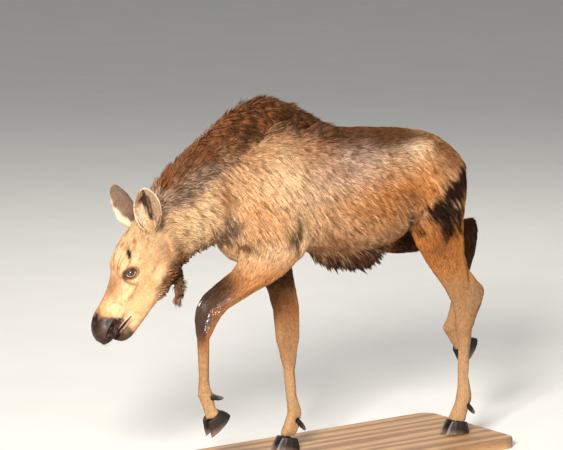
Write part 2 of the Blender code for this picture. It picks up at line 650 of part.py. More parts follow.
def foot_frame(leg):
    """From a foot's own axes (toe, left, up, from the coronet's centre) to the model's."""
    place, dip = FEET[leg]
    toe = math.radians(dip)
    forward = Vector((-math.cos(toe), 0, -math.sin(toe)))
    up = Vector((-math.sin(toe), 0, math.cos(toe)))
    axes = Matrix((forward, up.cross(forward), up)).transposed().to_4x4()
    return Matrix.Translation(place) @ axes


def claw(leg, side):
    """One claw of a cloven hoof: flat sole, pointed toe, straight inner wall."""
    frame = foot_frame(leg)
    sole = -FEET["foreleg_right"][0][2]
    rings = [
        (-0.0002, 0.18, 0.036, 0.036, 0.0175),
        (sole * 0.50, 0.08, 0.054, 0.044, 0.0195),
        (sole, 0.0, 0.070, 0.048, 0.0205),
    ]
    mesh = bmesh.new()
    loops = []
    for level, slant, toe, heel, half in rings:
        loop = []
        for i in range(12):
            turn = 2 * math.pi * i / 12
            ahead = math.cos(turn)
            u = ahead * (toe if ahead > 0 else heel)
            v = math.sin(turn) * half * (1 - 0.45 * max(0, ahead) ** 2)
            v = v if v > 0 else v * 0.72
            v += CLAW_SPREAD - 0.003 * max(0, ahead)
            loop.append(mesh.verts.new(frame @ Vector((u, v * side, level + slant * u))))
        loops.append(loop)
    for first, second in zip(loops, loops[1:]):
        for i in range(12):
            j = (i + 1) % 12
            mesh.faces.new((first[i], first[j], second[j], second[i]))
    mesh.faces.new(loops[0])
    mesh.faces.new(loops[-1])
    return object_from(mesh, "claw")


def dewclaw(leg, side):
    """One of the two small claws behind a fetlock."""
    frame = foot_frame(leg)
    start = Vector((-0.038, 0.018 * side, 0.066))
    end = Vector((-0.072, 0.024 * side, 0.022))
    turn = (end - start).to_track_quat("Z", "Y").to_matrix().to_4x4()
    mesh = bmesh.new()
    loops = []
    for share, size in ((0, 0.9), (0.55, 1.0), (0.85, 0.75), (1, 0.35)):
        loop = []
        for i in range(6):
            angle = 2 * math.pi * i / 6
            reach = DEWCLAW_RADIUS * size
            ring = Vector((math.cos(angle) * reach, math.sin(angle) * reach * 0.8, 0))
            loop.append(mesh.verts.new(frame @ (start.lerp(end, share) + turn @ ring)))
        loops.append(loop)
    for first, second in zip(loops, loops[1:]):
        for i in range(6):
            j = (i + 1) % 6
            mesh.faces.new((first[i], first[j], second[j], second[i]))
    mesh.faces.new(loops[0])
    mesh.faces.new(loops[-1])
    return object_from(mesh, "dewclaw")


def shod(pieces, leg):
    """Trims a leg's end at the coronet and gives it its claws and dewclaws."""
    frame = foot_frame(leg)
    slope = frame.to_3x3() @ Vector((0.18, 0, -1))
    pastern = leg + "_pastern"
    cut(pieces, pastern, "stump", frame.translation, slope)
    bpy.data.objects.remove(pieces.pop("stump"))
    pair = "hoof_" + leg.replace("leg", "")
    small = "dewclaw_" + leg.replace("leg", "")
    for side, word in ((1, "left"), (-1, "right")):
        pieces[pair + "_" + word + "_claw"] = claw(leg, side)
        socket(pieces, pastern, small + "_" + word, dewclaw(leg, side))


def base():
    """The display base: a plain slab with round corners and eased upper edges."""
    length, width, thickness = BASE_SIZE
    mesh = bmesh.new()
    loops = []
    for level, inset in ((-thickness, 0), (-0.006, 0), (-0.0018, 0.0018), (-GAP, 0.006)):
        loop = []
        for quarter in range(4):
            for step in range(5):
                turn = math.radians(90 * quarter + 22.5 * step)
                sx = 1 if quarter in (0, 3) else -1
                sy = 1 if quarter in (0, 1) else -1
                x = BASE_CENTRE[0] + sx * (length / 2 - BASE_CORNER) + (BASE_CORNER - inset) * math.cos(turn)
                y = BASE_CENTRE[1] + sy * (width / 2 - BASE_CORNER) + (BASE_CORNER - inset) * math.sin(turn)
                loop.append(mesh.verts.new((x, y, level)))
        loops.append(loop)
    for first, second in zip(loops, loops[1:]):
        for i in range(20):
            j = (i + 1) % 20
            mesh.faces.new((first[i], first[j], second[j], second[i]))
    mesh.faces.new(loops[0])
    mesh.faces.new(loops[-1])
    return object_from(mesh, "stand_base")


def material(name, colour, roughness):
    """A Principled material with a name of its own."""
    made = bpy.data.materials.new(name)
    made.use_nodes = True
    shader = made.node_tree.nodes["Principled BSDF"]
    shader.inputs["Base Color"].default_value = (*colour, 1)
    shader.inputs["Roughness"].default_value = roughness
    made.diffuse_color = (*colour, 1)
    return made


FINISHES = {
    "hoof": ((0.035, 0.028, 0.024), 0.45),
    "dewclaw": ((0.035, 0.028, 0.024), 0.45),
    "eye": ((0.020, 0.012, 0.008), 0.08),
    "stand_base": ((0.52, 0.47, 0.40), 0.60),
    "ear": ((0.42, 0.33, 0.26), 0.95),
    "neck": ((0.40, 0.25, 0.14), 0.95),
    "head": ((0.56, 0.38, 0.22), 0.95),
    "": ((0.45, 0.28, 0.15), 0.95),
}


def main():
    for old in list(bpy.data.objects):
        bpy.data.objects.remove(old)
    pieces = {"trunk": fused_flesh()}
    for leg, (profile, near, far) in LEG_ROOTS.items():
        take(pieces, "trunk", leg, prism(profile, near, far, 0), prism(profile, near, far, GAP))
    for plan in CUTS:
        cut(pieces, *plan)
    lighten(pieces)
    for leg in LEG_ROOTS:
        shod(pieces, leg)
    combine(pieces["head"], mouth(), "DIFFERENCE")
    for name, shape in EARS.items():
        socket(pieces, "head", name, ear(*shape))
    for side, word in ((1, "left"), (-1, "right")):
        socket(pieces, "head", "eye_" + word, eye(side))
    pieces["stand_base"] = base()
    points = np.array([v.co for piece in pieces.values() for v in piece.data.vertices])
    low, high = points.min(0), points.max(0)
    shift = Matrix.Translation((-(low[0] + high[0]) / 2, -(low[1] + high[1]) / 2, -low[2]))
    for name, piece in sorted(pieces.items()):
        piece.name = name
        piece.data.name = name
        piece.data.transform(shift)
        key = next(k for k in FINISHES if name.startswith(k))
        piece.data.materials.clear()
        piece.data.materials.append(material(name + "_finish", *FINISHES[key]))


if __name__ == "__main__":
    main()
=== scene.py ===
# %% [markdown]
# # A young moose, life size
#
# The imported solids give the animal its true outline. This script dresses them: one seamless
# skin, a coat of many small solid tufts, wet eyes with lids and lashes, horn on the feet and
# a plain oiled board to stand on. Everything is in metres, in the solids' own frame: the
# animal faces -X, its left side faces -Y and +Z is up.

import math

import bmesh
import bpy
import numpy as np
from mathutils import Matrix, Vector
from mathutils.bvhtree import BVHTree


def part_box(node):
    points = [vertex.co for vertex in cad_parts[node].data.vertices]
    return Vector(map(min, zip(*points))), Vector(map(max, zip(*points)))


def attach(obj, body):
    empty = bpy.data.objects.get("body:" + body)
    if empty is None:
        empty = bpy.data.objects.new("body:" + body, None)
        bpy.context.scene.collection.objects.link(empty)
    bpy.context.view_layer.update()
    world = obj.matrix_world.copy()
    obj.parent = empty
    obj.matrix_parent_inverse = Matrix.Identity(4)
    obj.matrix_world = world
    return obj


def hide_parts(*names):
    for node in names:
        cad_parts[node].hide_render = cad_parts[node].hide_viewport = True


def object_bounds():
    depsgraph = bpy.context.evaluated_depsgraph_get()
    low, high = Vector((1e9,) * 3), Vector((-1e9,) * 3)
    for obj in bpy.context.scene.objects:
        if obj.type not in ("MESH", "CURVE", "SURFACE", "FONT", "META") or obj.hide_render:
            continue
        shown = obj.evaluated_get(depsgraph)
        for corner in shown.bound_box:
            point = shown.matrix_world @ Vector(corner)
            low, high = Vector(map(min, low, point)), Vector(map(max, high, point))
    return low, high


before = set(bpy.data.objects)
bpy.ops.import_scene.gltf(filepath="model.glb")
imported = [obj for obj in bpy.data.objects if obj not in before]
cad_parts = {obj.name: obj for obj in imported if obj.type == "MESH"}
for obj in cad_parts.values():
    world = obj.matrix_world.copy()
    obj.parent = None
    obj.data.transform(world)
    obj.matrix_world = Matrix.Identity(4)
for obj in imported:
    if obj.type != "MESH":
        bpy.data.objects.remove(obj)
cad_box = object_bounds()
print("CAD box", [[round(v, 3) for v in corner] for corner in cad_box])

# %% [markdown]
# ## The camera
#
# A wildlife picture is taken from far away with a long lens, so the perspective is weak. The
# camera stands 18 m off, ahead of the animal and a little above its back, and aims at a
# point that is a share of the way along each side of the box. The lens is worked out from
# how wide a strip of the world the picture shows at that distance.

# %% Camera
CAMERA_AZIMUTH = math.radians(-36)
CAMERA_RISE = math.radians(10.5)
CAMERA_AWAY = 18.0
PICTURE_WIDTH = 2.1654  # metres across the picture at the aim point
AIM_SHARE = (0.4434, 0.5, 0.6515)


def toward_camera(azimuth, rise):
    return Vector((math.sin(azimuth) * math.cos(rise), -math.cos(azimuth) * math.cos(rise), math.sin(rise)))


box_low, box_high = cad_box
aim = Vector([low + share * (high - low) for low, high, share in zip(box_low, box_high, AIM_SHARE)])
lens = bpy.data.cameras.new("camera")
lens.sensor_width = 36.0
lens.lens = lens.sensor_width * CAMERA_AWAY / PICTURE_WIDTH
lens.clip_end = 100.0
camera = bpy.data.objects.new("camera", lens)
camera.location = aim + CAMERA_AWAY * toward_camera(CAMERA_AZIMUTH, CAMERA_RISE)
camera.rotation_euler = (aim - camera.location).to_track_quat("-Z", "Y").to_euler()
bpy.context.scene.collection.objects.link(camera)
bpy.context.scene.camera = camera
print("lens", round(lens.lens, 1), "mm")

# %% [markdown]
# ## Small helpers for arrays
#
# The skin has nearly three hundred thousand points and the coat over a million, so both are
# worked out as whole arrays with numpy and only made into meshes at the end. `fade` brings a
# marking in between two values, `blob` is a soft round mark and `noise` is a lattice noise:
# each cell corner gets a repeatable random number and the values between are blended.

# %% Array helpers
rng = np.random.default_rng(7)


def fade(value, start, end):
    """0 before the start, 1 past the end and a soft rise in between. The end may lie below the start."""
    share = np.clip((value - start) / (end - start), 0, 1)
    return share * share * (3 - 2 * share)


def hump(value, width):
    """1 where the value is 0, fading on both sides."""
    return np.exp(-((value / width) ** 2))


def blob(points, centre, radii):
    """1 at the centre, fading to about a third at the radii."""
    return np.exp(-(((points - np.array(centre)) / np.array(radii)) ** 2).sum(1))


def unit(vectors):
    return vectors / np.maximum(np.linalg.norm(vectors, axis=1, keepdims=True), 1e-9)


def lattice(cells, seed):
    """A number from 0 to 1 for each cell corner, by mixing the bits of its place and the seed."""
    mixed = (cells * np.array([73856093, 19349663, 83492791])).sum(1) + seed * 40503
    mixed = (mixed ^ (mixed >> 13)) * 1274126177
    return ((mixed ^ (mixed >> 16)) & 0xFFFF) / 0xFFFF


def noise(points, size, seed=0):
    """Smooth noise from 0 to 1, with features of about the given size."""
    scaled = points / size
    cell = np.floor(scaled).astype(np.int64)
    within = scaled - cell
    within = within * within * (3 - 2 * within)
    total = np.zeros(len(points))
    for corner in np.ndindex(2, 2, 2):
        share = np.prod(np.where(corner, within, 1 - within), axis=1)
        total += share * lattice(cell + np.array(corner), seed)
    return total


def srgb(*colour):
    """A colour as it looks on screen, turned into the linear values that shaders use."""
    colour = np.array(colour)
    return np.where(colour <= 0.04045, colour / 12.92, ((colour + 0.055) / 1.055) ** 2.4)


def placed(name, mesh):
    """An object with that mesh, in the scene."""
    made = bpy.data.objects.new(name, mesh)
    bpy.context.scene.collection.objects.link(made)
    return made


def mesh_object(name, points, faces, smooth=True):
    """An object from an array of points and an array of faces that all have the same corners."""
    mesh = bpy.data.meshes.new(name)
    mesh.vertices.add(len(points))
    mesh.vertices.foreach_set("co", np.asarray(points, np.float32).ravel())
    mesh.loops.add(faces.size)
    mesh.loops.foreach_set("vertex_index", np.asarray(faces, np.int32).ravel())
    mesh.polygons.add(len(faces))
    mesh.polygons.foreach_set("loop_start", np.arange(0, faces.size, faces.shape[1], dtype=np.int32))
    mesh.polygons.foreach_set("use_smooth", np.full(len(faces), smooth))
    mesh.update(calc_edges=True)
    return placed(name, mesh)


def evaluated(thing):
    """Bakes an object's modifiers into its mesh."""
    graph = bpy.context.evaluated_depsgraph_get()
    mesh = bpy.data.meshes.new_from_object(thing.evaluated_get(graph))
    thing.modifiers.clear()
    thing.data = mesh
    return thing


def fetched(items, field, width, kind=np.float32):
    """One field of every item of a mesh, as an array with that many columns."""
    found = np.empty(len(items) * width, kind)
    items.foreach_get(field, found)
    return found.reshape(-1, width)


def vertex_array(thing):
    return fetched(thing.data.vertices, "co", 3).astype(float)


def normal_array(thing):
    return fetched(thing.data.vertex_normals, "vector", 3).astype(float)


def edge_array(thing):
    return fetched(thing.data.edges, "vertices", 2, np.int32)


def face_array(thing, corners):
    """The corners of every face, for a mesh whose faces all have that many."""
    return fetched(thing.data.loops, "vertex_index", 1, np.int32).reshape(-1, corners)


def move_points(thing, points):
    thing.data.vertices.foreach_set("co", points.astype(np.float32).ravel())
    thing.data.update()


def set_colour(thing, name, colours):
    """A colour for each point, as an attribute that materials can read."""
    attribute = thing.data.attributes.new(name, "FLOAT_COLOR", "POINT")
    rgba = np.ones((len(colours), 4), np.float32)
    rgba[:, :3] = colours
    attribute.data.foreach_set("color", rgba.ravel())


def set_value(thing, name, values, kind="FLOAT", field="value"):
    attribute = thing.data.attributes.new(name, kind, "POINT")
    attribute.data.foreach_set(field, np.asarray(values, np.float32).ravel())

# %% [markdown]
# ## The head's own axes
#
# Face markings, lids and lips are easiest to place along the head itself. The two eyes give
# its sideways axis. The head hangs nose down at a known pitch, which gives the axis from
# poll to nose and the one up out of the forehead.

# %% Head axes
HEAD_PITCH = math.radians(63)
EYE_ALONG, EYE_BELOW = 0.198, 0.044  # from the poll to the level of the eyes


def middle(node):
    low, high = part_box(node)
    return (low + high) / 2


eyes = {"left": middle("eye_left"), "right": middle("eye_right")}
head_side = eyes["left"] - eyes["right"]
eye_gap = head_side.length / 2
head_side.normalize()
level = Vector((head_side.y, -head_side.x, 0))
head_nose = level * math.cos(HEAD_PITCH) - Vector((0, 0, 1)) * math.sin(HEAD_PITCH)
head_brow = level * math.sin(HEAD_PITCH) + Vector((0, 0, 1)) * math.cos(HEAD_PITCH)
poll = (eyes["left"] + eyes["right"]) / 2 - head_nose * EYE_ALONG + head_brow * EYE_BELOW
head_axes = np.array((head_nose, head_side, head_brow))
print("poll at", [round(v, 3) for v in poll])


def to_head(points):
    """Along the head from the poll, to its left, and up out of the forehead."""
    return (points - np.array(poll)) @ head_axes.T


def from_head(points):
    return np.asarray(points) @ head_axes + np.array(poll)

# %% [markdown]
# ## One skin
#
# The solids are parted where a person would name the parts, but a living animal has one
# skin. All parts of flesh are swollen by half a millimetre, so that the thin cuts close, and
# a voxel remesh fuses them. The eyeballs are fused in too: they hold the place where the
# lids will be shaped. Only the largest shell is kept, which drops anything sealed inside.

# %% Fuse the flesh
FINE = 0.0042  # grid of the remesh
SWELL = 0.0005
flesh_nodes = sorted(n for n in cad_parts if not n.startswith(("hoof", "dewclaw", "eye", "stand")))


def cad_copy(nodes, swell=0.0):
    """The solids of some nodes as one mesh, merged, with the node's number kept for each face."""
    whole = bmesh.new()
    owner = []
    for number, name in enumerate(nodes):
        part = bmesh.new()
        part.from_mesh(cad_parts[name].data)
        bmesh.ops.remove_doubles(part, verts=part.verts, dist=1e-5)
        part.normal_update()
        for vert in part.verts:
            vert.co += vert.normal * swell
        passing = bpy.data.meshes.new("passing")
        part.to_mesh(passing)
        part.free()
        owner += [number] * len(passing.polygons)
        whole.from_mesh(passing)
        bpy.data.meshes.remove(passing)
    mesh = bpy.data.meshes.new("copy")
    whole.to_mesh(mesh)
    whole.free()
    return placed("copy", mesh), np.array(owner)


def remeshed(thing, size):
    """Rebuilds an object's mesh on a grid of that size."""
    rebuild = thing.modifiers.new("rebuild", "REMESH")
    rebuild.mode = "VOXEL"
    rebuild.voxel_size = size
    return evaluated(thing)


def largest_shell(points, faces):
    """Only the biggest connected piece of a mesh, by passing each point's lowest label round."""
    label = np.arange(len(points))
    while True:
        lowest = label[faces].min(1)
        passed = label.copy()
        for corner in faces.T:
            np.minimum.at(passed, corner, lowest)
        passed = passed[passed]
        if (passed == label).all():
            break
        label = passed
    names, counts = np.unique(label, return_counts=True)
    kept = label == names[counts.argmax()]
    number = np.cumsum(kept) - 1
    return points[kept], number[faces[kept[faces[:, 0]]]]


block = remeshed(cad_copy(flesh_nodes + ["eye_left", "eye_right"], SWELL)[0], FINE)
skin_points, skin_faces = largest_shell(vertex_array(block), face_array(block, 4))
bpy.data.objects.remove(block)
print("fused skin:", len(skin_points), "points")

# %% [markdown]
# ## Which part is which
#
# Each point of the skin asks for the nearest solid and takes that part's name. The coat's
# depth, its lie and its markings are then stated part by part, and blended across the
# borders by averaging each point with its neighbours a few dozen times.

# %% Parts and blending
flesh_copy, flesh_owner = cad_copy(flesh_nodes)
flesh_tree = BVHTree.FromPolygons(
    [v.co for v in flesh_copy.data.vertices], [tuple(p.vertices) for p in flesh_copy.data.polygons]
)
bpy.data.objects.remove(flesh_copy)


def parts_of(points):
    """The number, in flesh_nodes, of the part that each point lies on."""
    return flesh_owner[[flesh_tree.find_nearest(point)[2] for point in points]]


def quad_edges(faces):
    pairs = np.concatenate([faces[:, [k, (k + 1) % 4]] for k in range(4)])
    return np.unique(np.sort(pairs, axis=1), axis=0)


def neighbour_mean(values, edges):
    """The mean of each point's neighbours."""
    first, second = edges.T
    size = len(values)
    sums = [np.bincount(first, v[second], size) + np.bincount(second, v[first], size) for v in values.T]
    return np.stack(sums, axis=1) / np.bincount(edges.ravel(), minlength=size)[:, None]


def averaged(values, edges, turns):
    """Gives each point the mean of its neighbours' values, again and again."""
    values = np.array(values, float)
    flat = values.ndim == 1
    values = values[:, None] if flat else values
    for _ in range(turns):
        values += neighbour_mean(values, edges) - values
    return values[:, 0] if flat else values


def by_part(part, table, default):
    """A value for each point, from the first name in the table that its part's name starts with."""
    found = []
    for name in flesh_nodes:
        key = next((k for k in table if name.startswith(k)), None)
        found.append(table[key] if key else default)
    return np.array(found, float)[part]


skin_part = parts_of(skin_points)
skin_edges = quad_edges(skin_faces)
print("parts:", {flesh_nodes[k]: int(c) for k, c in enumerate(np.bincount(skin_part)) if c > 20000})

# %% [markdown]
# ## Smooth the facets, then sink the skin by the coat's depth
#
# The solids are faceted, and hair tips reach their surface. So the skin is first smoothed,
# strongly on the body and lightly on the head and ears, and then sunk: about a centimetre
# on the body, more under the mane and the belly's fringe, hardly at all on face and feet.
# Behind the shoulder and before the thigh it sinks a little more, in a soft crease.

# %% Smooth and sink
SMOOTH_TURNS = {"head": 5, "ear": 2, "bell": 6, "tail": 8, "neck": 50, "chest": 60, "trunk": 60, "rump": 50}
LEG_TURNS = 14
COAT_DEPTH = {
    "head": 0.0020,
    "ear": 0.0008,
    "bell": 0.0100,
    "tail": 0.0050,
    "neck": 0.0090,
    "chest": 0.0100,
    "trunk": 0.0100,
    "rump": 0.0085,
    "foreleg_left_": 0.0022,
    "foreleg_right_": 0.0022,
    "hindleg_left_cannon": 0.0022,
    "hindleg_right_cannon": 0.0022,
    "hindleg_left_pastern": 0.0015,
    "hindleg_right_pastern": 0.0015,
    "foreleg": 0.0050,
    "hindleg": 0.0060,
}
MANE_DEPTH, FRINGE_DEPTH, CREASE_DEPTH = 0.012, 0.020, 0.007  # sunk on top of the coat's own depth
SHOULDER_CREASE = ((-0.128, 0.87), (-0.135, 0.90), (-0.143, 0.98), (-0.155, 1.06), (-0.175, 1.13))  # x and z
FLANK_CREASE = ((0.445, 0.84), (0.410, 0.90), (0.372, 0.98), (0.365, 1.04))


def smoothed(points, edges, turns):
    """Averages each point as many turns as its part asks for; a second, opposite step keeps its bulk."""
    points = points.copy()
    for turn in range(int(turns.max())):
        moving = (turns > turn)[:, None]
        for amount in (0.5, -0.52):
            points += moving * amount * (neighbour_mean(points, edges) - points)
    return points


def crease(spots, line, width):
    """1 in a crease that runs up the side of the body, given by its x at each height."""
    across, height = np.array(line).T
    within = fade(spots[:, 2], height[0] - 0.03, height[0] + 0.01)
    within *= fade(spots[:, 2], height[-1] + 0.02, height[-1] - 0.12)
    off = spots[:, 0] - np.interp(spots[:, 2], height, across)
    return hump(off, width) * within * fade(np.abs(spots[:, 1]), 0.06, 0.09)


turns = averaged(by_part(skin_part, SMOOTH_TURNS, LEG_TURNS), skin_edges, 12)
skin_points = smoothed(skin_points, skin_edges, turns)
depth = averaged(by_part(skin_part, COAT_DEPTH, 0.004), skin_edges, 25)
unsunk = mesh_object("unsunk", skin_points, skin_faces)
normals = normal_array(unsunk)
x, z = skin_points[:, 0], skin_points[:, 2]
crest = fade(z, 1.05, 1.30) * fade(normals[:, 2], 0.3, 0.9)
crest *= fade(-x, -0.05, 0.10) * fade(x, -0.70, -0.60)
belly = fade(-normals[:, 2], 0.2, 0.8) * fade(z, 0.88, 0.82)
belly *= fade(x, -0.20, -0.10) * fade(x, 0.46, 0.34)
depth += MANE_DEPTH * crest + FRINGE_DEPTH * averaged(belly, skin_edges, 20)
folds = crease(skin_points, SHOULDER_CREASE, 0.013) + crease(skin_points, FLANK_CREASE, 0.012)
depth += CREASE_DEPTH * folds
skin_points = skin_points - normals * depth[:, None]
bpy.data.objects.remove(unsunk)
print("coat depth", round(depth.min() * 1000, 1), "to", round(depth.max() * 1000, 1), "mm")

# %% [markdown]
# ## Lids, nostrils and lips
#
# The face is what people look at first, so its mesh gets more points round the eyes, the
# nostrils and the mouth before anything is shaped there. The lids are made by sending each
# point near an eye out or in along its ray from the eyeball's centre: inside an almond
# outline it drops behind the ball, and outside it lies on the ball as a lid, which fades
# into the cheek. A nostril is a long dent with a raised rim; the lips are low ridges.

# %% Shape the face
FACE_STARTS = -0.60  # the face lies ahead of this
LID_TILT = math.radians(40)  # the almond is nearer to level than the nose is
LID_REACH = {"front": 0.0228, "back": 0.0205, "up": 0.0148, "down": 0.0150}  # along the ball from its pole
LID_THICK = 0.0021
SOCKET_DEPTH = 0.004  # from the ball's surface down to the skin behind it
NOSTRIL = np.array((0.424, 0.060, -0.078))
NOSTRIL_SIZE = (0.0200, 0.0078)
NOSTRIL_SLOPE = math.radians(8)
MOUTH_LINE = ((0.348, -0.1330), (0.500, -0.0950))  # along and up, from the corner to the lips' front
TEAR_FOLD = ((0.226, -0.030), (0.236, -0.048), (0.238, -0.066), (0.230, -0.082))  # along and up
ball_radius = (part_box("eye_left")[1].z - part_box("eye_left")[0].z) / 2
eye_middle = np.array((EYE_ALONG, eye_gap, -EYE_BELOW))


def on_side(face, sign):
    """Head coordinates with one side of the face mirrored onto the left."""
    return face * np.array((1, sign, 1))


def almond_at(ahead, above):
    """How far out a place on the ball is in the almond: 1 is the edge of the lids' opening."""
    half = np.where(ahead > 0, LID_REACH["front"], LID_REACH["back"])
    tall = np.where(above > 0, LID_REACH["up"], LID_REACH["down"])
    tall = tall * (1 - 0.30 * np.clip(ahead / LID_REACH["front"], 0, 1) ** 2)
    return np.sqrt((ahead / half) ** 2 + (above / tall) ** 2)


def eye_angles(face, sign):
    """Each point's offset from the eye's middle, its distance and how far out it is in the almond."""
    offset = on_side(face, sign) - eye_middle
    distance = np.linalg.norm(offset, axis=1)
    ray = offset / np.maximum(distance, 1e-9)[:, None]
    arc = ball_radius * np.arccos(np.clip(ray[:, 1], -1, 1))
    heading = np.arctan2(ray[:, 2], ray[:, 0]) - LID_TILT
    return offset, distance, almond_at(arc * np.cos(heading), arc * np.sin(heading))


def sloped(offset, slope):
    """The offset along a slope in the head's side view, and square to it."""
    ahead = offset[:, 0] * math.cos(slope) + offset[:, 2] * math.sin(slope)
    return ahead, offset[:, 2] * math.cos(slope) - offset[:, 0] * math.sin(slope)


def eye_ring(offset):
    """How far ahead of the eye's middle a point is, and how far out: 1 is the dark ring's edge."""
    ahead, above = sloped(offset, LID_TILT)
    return ahead, np.sqrt((ahead / 0.032) ** 2 + ((above + 0.004) / 0.026) ** 2)


def mouth_distance(face):
    """Distance from the line between the lips, seen from the side, and how far along it."""
    start, end = np.array(MOUTH_LINE)
    run = (end - start) / np.linalg.norm(end - start)
    offset = face[:, [0, 2]] - start
    along = offset @ run
    across = offset @ np.array((-run[1], run[0]))
    return np.hypot(across, np.maximum(-along, 0)), along


def mouth_half(along):
    """Half the gap between the lips, which part a little towards the front."""
    return 0.0014 + 0.0032 * fade(along, 0.0, 0.06)


def fold_distance(face):
    """Distance from the fold that runs down from the eye's front corner, seen from the side."""
    nearest = np.full(len(face), 1.0)
    for start, end in zip(TEAR_FOLD[:-1], TEAR_FOLD[1:]):
        run = np.array(end) - np.array(start)
        offset = face[:, [0, 2]] - np.array(start)
        share = np.clip(offset @ run / (run @ run), 0, 1)
        nearest = np.minimum(nearest, np.linalg.norm(offset - share[:, None] * run, axis=1))
    return nearest


def nostril_place(face, sign):
    """How far out a point is from a nostril, whose edge is at 1, and whether it is on that side."""
    face = on_side(face, sign)
    ahead, above = sloped(face - NOSTRIL, NOSTRIL_SLOPE)
    above = above - 5.0 * ahead**2
    round_it = np.sqrt((ahead / NOSTRIL_SIZE[0]) ** 2 + (above / NOSTRIL_SIZE[1]) ** 2)
    return round_it, fade(face[:, 1], 0.015, 0.035)


def shaped_face(points, surface_normals):
    """The skin's points, with lids, nostrils, lips and tear folds worked into the face."""
    face = to_head(points)
    is_face = (face[:, 0] > 0.05) & (points[:, 0] < FACE_STARTS)
    for sign in (1, -1):
        offset, distance, almond = eye_angles(face, sign)
        reach = is_face & (on_side(face, sign)[:, 1] > 0.03) & (distance < 2.4 * ball_radius)
        beside = np.hypot(offset[:, 0], offset[:, 2]) / ball_radius
        folds = 0.0016 * hump(beside - 1.14, 0.05) + 0.0013 * hump(beside - 1.38, 0.06)
        away = np.maximum(fade(almond, 1.35, 2.5), fade(beside, 1.12, 1.75))
        radius = (ball_radius + LID_THICK) * (1 - away) + distance * away - folds * (almond > 1.15)
        radius = np.where(almond < 1, ball_radius - SOCKET_DEPTH, radius)
        radius = np.where(reach, radius, distance)
        moved = offset / np.maximum(distance, 1e-9)[:, None] * radius[:, None]
        face = np.where(reach[:, None], on_side(moved + eye_middle, sign), face)
    points = np.where(is_face[:, None], from_head(face), points)
    for sign in (1, -1):
        round_it, near = nostril_place(face, sign)
        push = -0.0130 * np.exp(-((round_it / 0.95) ** 4)) + 0.0024 * hump(round_it - 1.75, 0.5)
        points = points + surface_normals * (push * near * is_face)[:, None]
    gap, along = mouth_distance(face)
    half = mouth_half(along)
    slit = -0.0090 * np.exp(-((gap / half) ** 4))
    lip = 0.0030 * hump(gap - half - 0.005, 0.005) * fade(along, -0.012, 0.01)
    fold = -0.0020 * hump(gap - 0.020, 0.004) * fade(-along, -0.05, 0.01)
    tear = -0.0022 * hump(fold_distance(face), 0.0022)
    tear += 0.0014 * hump(fold_distance(face) - 0.0065, 0.004)
    return points + surface_normals * ((slit + lip + fold + tear) * is_face)[:, None]


def detail_zone(face):
    """Where the face needs the finest mesh."""
    gap, along = mouth_distance(face)
    wanted = (gap < 0.020) & (along > -0.02) & (face[:, 0] > 0.3)
    for sign in (1, -1):
        wanted |= eye_angles(face, sign)[1] < 2.5 * ball_radius
        round_it, near = nostril_place(face, sign)
        wanted |= (round_it < 2.6) & (near > 0)
    return wanted


skin = mesh_object("skin", skin_points, skin_faces)
fine = bmesh.new()
fine.from_mesh(skin.data)
fine.verts.ensure_lookup_table()
zone = detail_zone(to_head(skin_points)) & (skin_points[:, 0] < FACE_STARTS)
chosen = [edge for edge in fine.edges if zone[edge.verts[0].index] and zone[edge.verts[1].index]]
bmesh.ops.subdivide_edges(fine, edges=chosen, cuts=2, use_grid_fill=True)
bmesh.ops.triangulate(fine, faces=fine.faces)
fine.to_mesh(skin.data)
fine.free()
move_points(skin, shaped_face(vertex_array(skin), normal_array(skin)))
print("skin with a finer face:", len(skin.data.vertices), "points,", len(skin.data.polygons), "triangles")

# %% [markdown]
# ## Fields on the skin
#
# Everything the coat needs is now stated for each point of the finished skin: its part, how
# far it belongs to the head, an ear or a leg, which way the hair lies, how long it is and
# what colour it has. The lie runs from the nose back over the head, up and back along the
# crest, down and back over the shoulder and flank, and down each leg.

# %% Parts and lie of the coat
points = vertex_array(skin)
x, y, z = points.T
normals = normal_array(skin)
triangles = face_array(skin, 3)
edges = edge_array(skin)
part = parts_of(points)
face = to_head(points)


def share_of(prefixes, turns):
    """How far each point belongs to the parts whose names start so, from 0 to 1."""
    flags = np.array([float(name.startswith(prefixes)) for name in flesh_nodes])[part]
    return averaged(flags, edges, turns)


head_share = share_of("head", 30)
ear_share = share_of("ear", 3)
cannon_share = share_of(tuple(n for n in flesh_nodes if n.endswith(("cannon", "pastern"))), 25)
leg_share = share_of(("foreleg", "hindleg"), 30)
bell_share = share_of("bell", 5)
tail_share = share_of("tail", 6)

EAR_OPENING = {"ear_left": (0.46, 0.85, -0.06), "ear_right": (0.75, -0.65, 0.0)}  # in head axes
EAR_WIDTH = 0.106
BODY_LIE = {  # which way the hair lies where the body faces up, and where it faces sideways
    "neck": ((0.72, 0, 0.60), (0.85, 0, -0.38)),
    "chest": ((0.95, 0, 0.10), (0.62, 0, -0.78)),
    "trunk": ((1.0, 0, -0.10), (0.80, 0, -0.60)),
    "rump": ((0.95, 0, -0.35), (0.55, 0, -0.84)),
}
HANGING_LIE = np.array((0.15, 0, -1.0))
THIGH_LEAN = np.array((0.3, 0, 0))


def ear_axis(name):
    """An ear's root, which is its point nearest the skull, and its tip."""
    spots = np.array([v.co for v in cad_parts[name].data.vertices])
    skull = np.array(poll) - 0.06 * np.array(head_brow)
    reach = np.linalg.norm(spots - skull, axis=1)
    return spots[reach.argmin()], spots[reach.argmax()]


